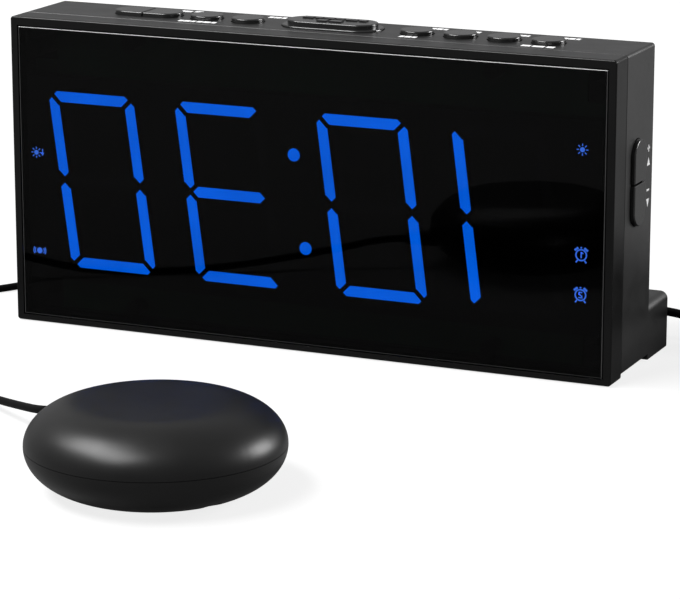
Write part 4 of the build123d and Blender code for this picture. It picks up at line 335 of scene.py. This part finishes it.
def bar(x, y, w, h, turn=0.0):
    """Rectangle about a centre."""
    c, s = math.cos(math.radians(turn)), math.sin(math.radians(turn))
    corners = [(-w / 2, -h / 2), (w / 2, -h / 2), (w / 2, h / 2), (-w / 2, h / 2)]
    return [[(x + u * c - v * s, y + u * s + v * c) for u, v in corners]]


def arc(x, y, r, t, start, end):
    """Bent strip about a centre, between two angles."""
    angles = [math.radians(start + (end - start) * n / ARC_STEPS) for n in range(ARC_STEPS + 1)]
    outer, inner = [
        [(x + edge * math.cos(a), y + edge * math.sin(a)) for a in angles]
        for edge in (r + t / 2, r - t / 2)
    ]
    return [outer + inner[::-1]]


def ring(x, y, r, t):
    """Two bent strips that close a ring."""
    return arc(x, y, r, t, 0, 180) + arc(x, y, r, t, 180, 360)


def disc(x, y, r):
    """Filled circle."""
    steps = 2 * ARC_STEPS
    angles = [2 * math.pi * n / steps for n in range(steps)]
    return [[(x + r * math.cos(a), y + r * math.sin(a)) for a in angles]]


def arrow(x, y, size, side):
    """Triangle that points up or down."""
    foot, tip = y - side * size / 2, y + side * size / 2
    corners = [(x - size / 2, foot), (x + size / 2, foot), (x, tip)]
    return [corners if side > 0 else corners[::-1]]


def mesh_piece(name, shape, material):
    """Piece on the clock, made of a finished mesh."""
    bmesh.ops.recalc_face_normals(shape, faces=shape.faces)
    mesh = bpy.data.meshes.new(name)
    shape.to_mesh(mesh)
    shape.free()
    mesh.materials.append(material)
    piece = bpy.data.objects.new(name, mesh)
    bpy.context.collection.objects.link(piece)
    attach(piece, "clock")


def raised(name, outlines, origin, right, up, thickness, material):
    """Shapes that stand on a face, with their back on it."""
    shape = bmesh.new()
    right, up = Vector(right), Vector(up)
    out = right.cross(up)
    for outline in outlines:
        base = [shape.verts.new((Vector(origin) + right * u + up * v) * MM) for u, v in outline]
        lid = [shape.verts.new(vert.co + out * (thickness * MM)) for vert in base]
        count = len(base)
        shape.faces.new(base[::-1])
        shape.faces.new(lid)
        for n in range(count):
            shape.faces.new((base[n], base[(n + 1) % count], lid[(n + 1) % count], lid[n]))
    mesh_piece(name, shape, material)


# Icons in the smoked window, just in front of their windows
ICON_DEPTH = 3.18
ICON_T = 0.12
ALARM_X = 89.2
ALARM_ONE_Z = 38.9
ALARM_TWO_Z = 26.8
DAY_PLACE = (89.0, 70.5)
SEASON_PLACE = (-93.1, 54.7)
SHAKE_PLACE = (-92.7, 23.0)
DIAL_R = 1.65
DIAL_T = 0.40
KNOB_R = 0.26
KNOB_RISE = 2.25
BELL_REACH = 1.5
BELL_RISE = 1.75
BELL_W = 1.4
BELL_H = 0.65
LEG_REACH = 1.35
LEG_DROP = 1.95
LEG_W = 0.42
LEG_H = 0.9
LEG_TURN = 38
SUN_R = 0.75
RAY_REACH = 1.45
RAY_L = 0.7
RAY_T = 0.26
RAY_STEP = 45
SHAKE_R = 0.95
WAVE_RADII = (1.6, 2.15)
WAVE_T = 0.26
WAVE_SPREAD = 30
POINTER_REACH = 2.2
POINTER_RISE = 0.65
POINTER_W = 0.3
POINTER_H = 1.2
POINTER_TIP = 1.1
POINTER_TIP_DROP = 0.45
LINE_T = 0.36
# Strokes of the figures: place across and up, width, height, turn
FIGURE_ONE = [(0, 0, LINE_T, 1.8, 0), (0.35, 0.65, 0.7, LINE_T, -35)]
FIGURE_TWO = [
    (0, 0.8, 1.1, LINE_T, 0),
    (-0.45, 0.45, LINE_T, 0.7, 0),
    (0.05, -0.1, 1.25, LINE_T, -32),
    (0, -0.8, 1.25, LINE_T, 0),
]


def alarm_icon(x, z, figure):
    """Bell clock: dial, knob, two bells, two legs and a figure in it."""
    shapes = ring(x, z, DIAL_R, DIAL_T) + disc(x, z + KNOB_RISE, KNOB_R)
    for side in (-1, 1):
        shapes += bar(x + side * BELL_REACH, z + BELL_RISE, BELL_W, BELL_H, -side * LEG_TURN)
        shapes += bar(x + side * LEG_REACH, z - LEG_DROP, LEG_W, LEG_H, side * LEG_TURN)
    for across, rise, w, h, turn in figure:
        shapes += bar(x + across, z + rise, w, h, turn)
    return shapes


def sun_icon(x, z):
    """Day mark: a disc and eight rays."""
    shapes = disc(x, z, SUN_R)
    for turn in range(0, 360, RAY_STEP):
        u, v = math.cos(math.radians(turn)), math.sin(math.radians(turn))
        shapes += bar(x + RAY_REACH * u, z + RAY_REACH * v, RAY_L, RAY_T, turn)
    return shapes


def season_icon(x, z):
    """Summer-time mark: the sun with an arrow beside it."""
    pointer_x = x + POINTER_REACH
    shapes = sun_icon(x, z) + bar(pointer_x, z + POINTER_RISE, POINTER_W, POINTER_H)
    return shapes + arrow(pointer_x, z - POINTER_TIP_DROP, POINTER_TIP, -1)


def shake_icon(x, z):
    """Shaker mark: a disc between two pairs of bent lines."""
    shapes = disc(x, z, SHAKE_R)
    for middle in (0, 180):
        for radius in WAVE_RADII:
            shapes += arc(x, z, radius, WAVE_T, middle - WAVE_SPREAD, middle + WAVE_SPREAD)
    return shapes


for icon_name, icon_shapes in {
    "icon_alarm_one": alarm_icon(ALARM_X, ALARM_ONE_Z, FIGURE_ONE),
    "icon_alarm_two": alarm_icon(ALARM_X, ALARM_TWO_Z, FIGURE_TWO),
    "icon_shake": shake_icon(*SHAKE_PLACE),
    "icon_day": sun_icon(*DAY_PLACE),
    "icon_season": season_icon(*SEASON_PLACE),
}.items():
    raised(
        icon_name, icon_shapes, (0, FRONT_Y + ICON_DEPTH, 0), (1, 0, 0), (0, 0, 1),
        ICON_T, ICON,
    )

# Pale skin on the chamfer round the smoked window: a painted highlight line
PANE_HALF_W = 97.25
PANE_LOW = 2.65
PANE_TOP = 95.0
PANE_CHAMFER = 0.3
EDGE_CLEAR = 0.02
EDGE_SWELL = 0.03


def pane_edge_highlight():
    """Thin pale skin on the chamfer round the window, painted as a bright highlight line."""
    shape = bmesh.new()
    middle = PANE_CHAMFER / 2
    section = [(EDGE_CLEAR, PANE_CHAMFER), (PANE_CHAMFER - EDGE_CLEAR, EDGE_CLEAR)]
    section.append((middle - EDGE_SWELL, middle - EDGE_SWELL))
    loops = []
    for side, height in ((-1, -1), (1, -1), (1, 1), (-1, 1)):
        loop = []
        for inset, depth in section:
            z = PANE_TOP - inset if height > 0 else PANE_LOW + inset
            place = Vector((side * (PANE_HALF_W - inset), FRONT_Y + depth, z))
            loop.append(shape.verts.new(place * MM))
        loops.append(loop)
    for n, loop in enumerate(loops):
        after = loops[(n + 1) % len(loops)]
        for k in range(len(loop)):
            k_next = (k + 1) % len(loop)
            shape.faces.new((loop[k], loop[k_next], after[k_next], after[k]))
    mesh_piece("lens_edge_highlight", shape, PAINTED_EDGE_HIGHLIGHT)


pane_edge_highlight()

# Printed marks beside the keys, on the case
PRINT_T = 0.04
MARK_H = 2.2
# Dashes of a mark: middle and length, as shares of the mark's length
DASH_SHARES = ((0.17, 0.26), (0.52, 0.34), (0.87, 0.22))
# Top marks: left end, right end, place behind the front
TOP_MARKS = [
    (-48.1, -42.1, 13.6), (-41.9, -35.1, 13.8), (-55.4, -51.6, 30.5), (-50.9, -48.2, 31.0),
    (-25.3, -18.9, 30.7), (29.4, 35.0, 30.9), (43.9, 46.1, 29.8), (58.4, 62.0, 29.7),
    (72.3, 78.0, 30.3), (25.9, 31.7, 13.9), (65.0, 76.0, 13.5),
]
# Side marks: height of each key's mark, and which way its arrow points
SIDE_MARKS = ((64.6, 1), (51.8, -1))
SIDE_MARK_DEPTH = 30.4
SIGN_RISE = 2.2
SIGN_L = 2.2
SIGN_T = 0.6
ARROW_DROP = 1.8
ARROW_SIZE = 2.6


def dashes(start, end, y, h):
    """Row of three short bars of different lengths."""
    span = end - start
    shapes = []
    for middle, share in DASH_SHARES:
        shapes += bar(start + middle * span, y, share * span, h)
    return shapes


top_marks = []
for mark_start, mark_end, mark_depth in TOP_MARKS:
    top_marks += dashes(mark_start, mark_end, mark_depth, MARK_H)
raised(
    "top_marks", top_marks, (0, FRONT_Y, CLOCK_H), (1, 0, 0), (0, 1, 0),
    PRINT_T, PRINT,
)

side_marks = []
for mark_z, mark_side in SIDE_MARKS:
    side_marks += bar(SIDE_MARK_DEPTH, mark_z + SIGN_RISE, SIGN_L, SIGN_T)
    if mark_side > 0:
        side_marks += bar(SIDE_MARK_DEPTH, mark_z + SIGN_RISE, SIGN_T, SIGN_L)
    side_marks += arrow(SIDE_MARK_DEPTH, mark_z - ARROW_DROP, ARROW_SIZE, mark_side)
raised(
    "side_marks", side_marks, (CLOCK_W / 2, FRONT_Y, 0), (0, 1, 0), (0, 0, 1),
    PRINT_T, PRINT,
)

# Floor
FLOOR_HALF = 6.0
FLOOR_COLOUR = (0.17, 0.17, 0.17, 1)
FLOOR_ROUGH = 0.9
FADE = {"From Min": 0.35, "From Max": 0.90, "To Min": 0.82, "To Max": 1.0}
FLOOR_GLOSS_GLOW = 0.06


def math_node(nodes, links, operation, *values):
    """Math node with sockets and plain numbers as its inputs."""
    node = nodes.new("ShaderNodeMath")
    node.operation = operation
    for socket, value in zip(node.inputs, values):
        if isinstance(value, float):
            socket.default_value = value
        else:
            links.new(value, socket)
    return node.outputs["Value"]


floor_mesh = bpy.data.meshes.new("floor")
floor_corners = [
    (x * FLOOR_HALF, y * FLOOR_HALF, 0) for x, y in ((-1, -1), (1, -1), (1, 1), (-1, 1))
]
floor_mesh.from_pydata(floor_corners, [], [(0, 1, 2, 3)])
floor = bpy.data.objects.new("floor", floor_mesh)
bpy.context.collection.objects.link(floor)

# The floor glows to the camera, less near the object to keep its shadow, and a little in gloss
floor_finish = bpy.data.materials.new("floor")
floor_finish.use_nodes = True
nodes, links = floor_finish.node_tree.nodes, floor_finish.node_tree.links
floor_shader = nodes["Principled BSDF"]
floor_shader.inputs["Base Color"].default_value = FLOOR_COLOUR
floor_shader.inputs["Roughness"].default_value = FLOOR_ROUGH
floor_shader.inputs["Specular IOR Level"].default_value = 0.0
floor_shader.inputs["Emission Color"].default_value = (1, 1, 1, 1)
ray = nodes.new("ShaderNodeLightPath").outputs
spot = nodes.new("ShaderNodeTexCoord")
reach = nodes.new("ShaderNodeVectorMath")
reach.operation = "LENGTH"
links.new(spot.outputs["Object"], reach.inputs[0])
fade = nodes.new("ShaderNodeMapRange")
for socket_name, value in FADE.items():
    fade.inputs[socket_name].default_value = value
links.new(reach.outputs["Value"], fade.inputs["Value"])
to_camera = math_node(nodes, links, "MULTIPLY", ray["Is Camera Ray"], fade.outputs["Result"])
to_gloss = math_node(nodes, links, "MAXIMUM", ray["Is Glossy Ray"], ray["Is Transmission Ray"])
glow = math_node(nodes, links, "MULTIPLY_ADD", to_gloss, FLOOR_GLOSS_GLOW, to_camera)
links.new(glow, floor_shader.inputs["Emission Strength"])
floor_mesh.materials.append(floor_finish)

# World: white to the camera and through glass, a soft grey studio to everything else
STUDIO_COLOUR = (0.16, 0.16, 0.165, 1)
GLOSS_SHARE = 0.26
world = bpy.data.worlds.new("studio")
bpy.context.scene.world = world
world.use_nodes = True
nodes, links = world.node_tree.nodes, world.node_tree.links
nodes.clear()
seen = nodes.new("ShaderNodeBackground")
seen.inputs["Color"].default_value = (1, 1, 1, 1)
around = nodes.new("ShaderNodeBackground")
around.inputs["Color"].default_value = STUDIO_COLOUR
ray = nodes.new("ShaderNodeLightPath").outputs
glossy = math_node(nodes, links, "MULTIPLY", ray["Is Glossy Ray"], GLOSS_SHARE)
through = math_node(nodes, links, "MAXIMUM", ray["Is Camera Ray"], ray["Is Transmission Ray"])
either = math_node(nodes, links, "MAXIMUM", glossy, through)
mix = nodes.new("ShaderNodeMixShader")
links.new(either, mix.inputs["Fac"])
links.new(around.outputs["Background"], mix.inputs[1])
links.new(seen.outputs["Background"], mix.inputs[2])
output = nodes.new("ShaderNodeOutputWorld")
links.new(mix.outputs["Shader"], output.inputs["Surface"])


# Lamps
def lamp(name, place, target, width, height, power):
    """Soft box turned to a target."""
    data = bpy.data.lights.new(name, "AREA")
    data.shape = "RECTANGLE"
    data.size, data.size_y, data.energy = width, height, power
    box = bpy.data.objects.new(name, data)
    box.location = place
    box.rotation_euler = (Vector(target) - Vector(place)).to_track_quat("-Z", "Y").to_euler()
    bpy.context.collection.objects.link(box)


lamp(
    "key", place=(-0.38, -0.40, 0.84), target=(0.02, -0.06, 0.02),
    width=1.00, height=0.40, power=19.0,
)
lamp(
    "rim", place=(0.80, 0.68, 0.38), target=(0.04, -0.06, 0.02),
    width=0.40, height=0.40, power=9.0,
)

bpy.context.scene.view_settings.view_transform = "Standard"
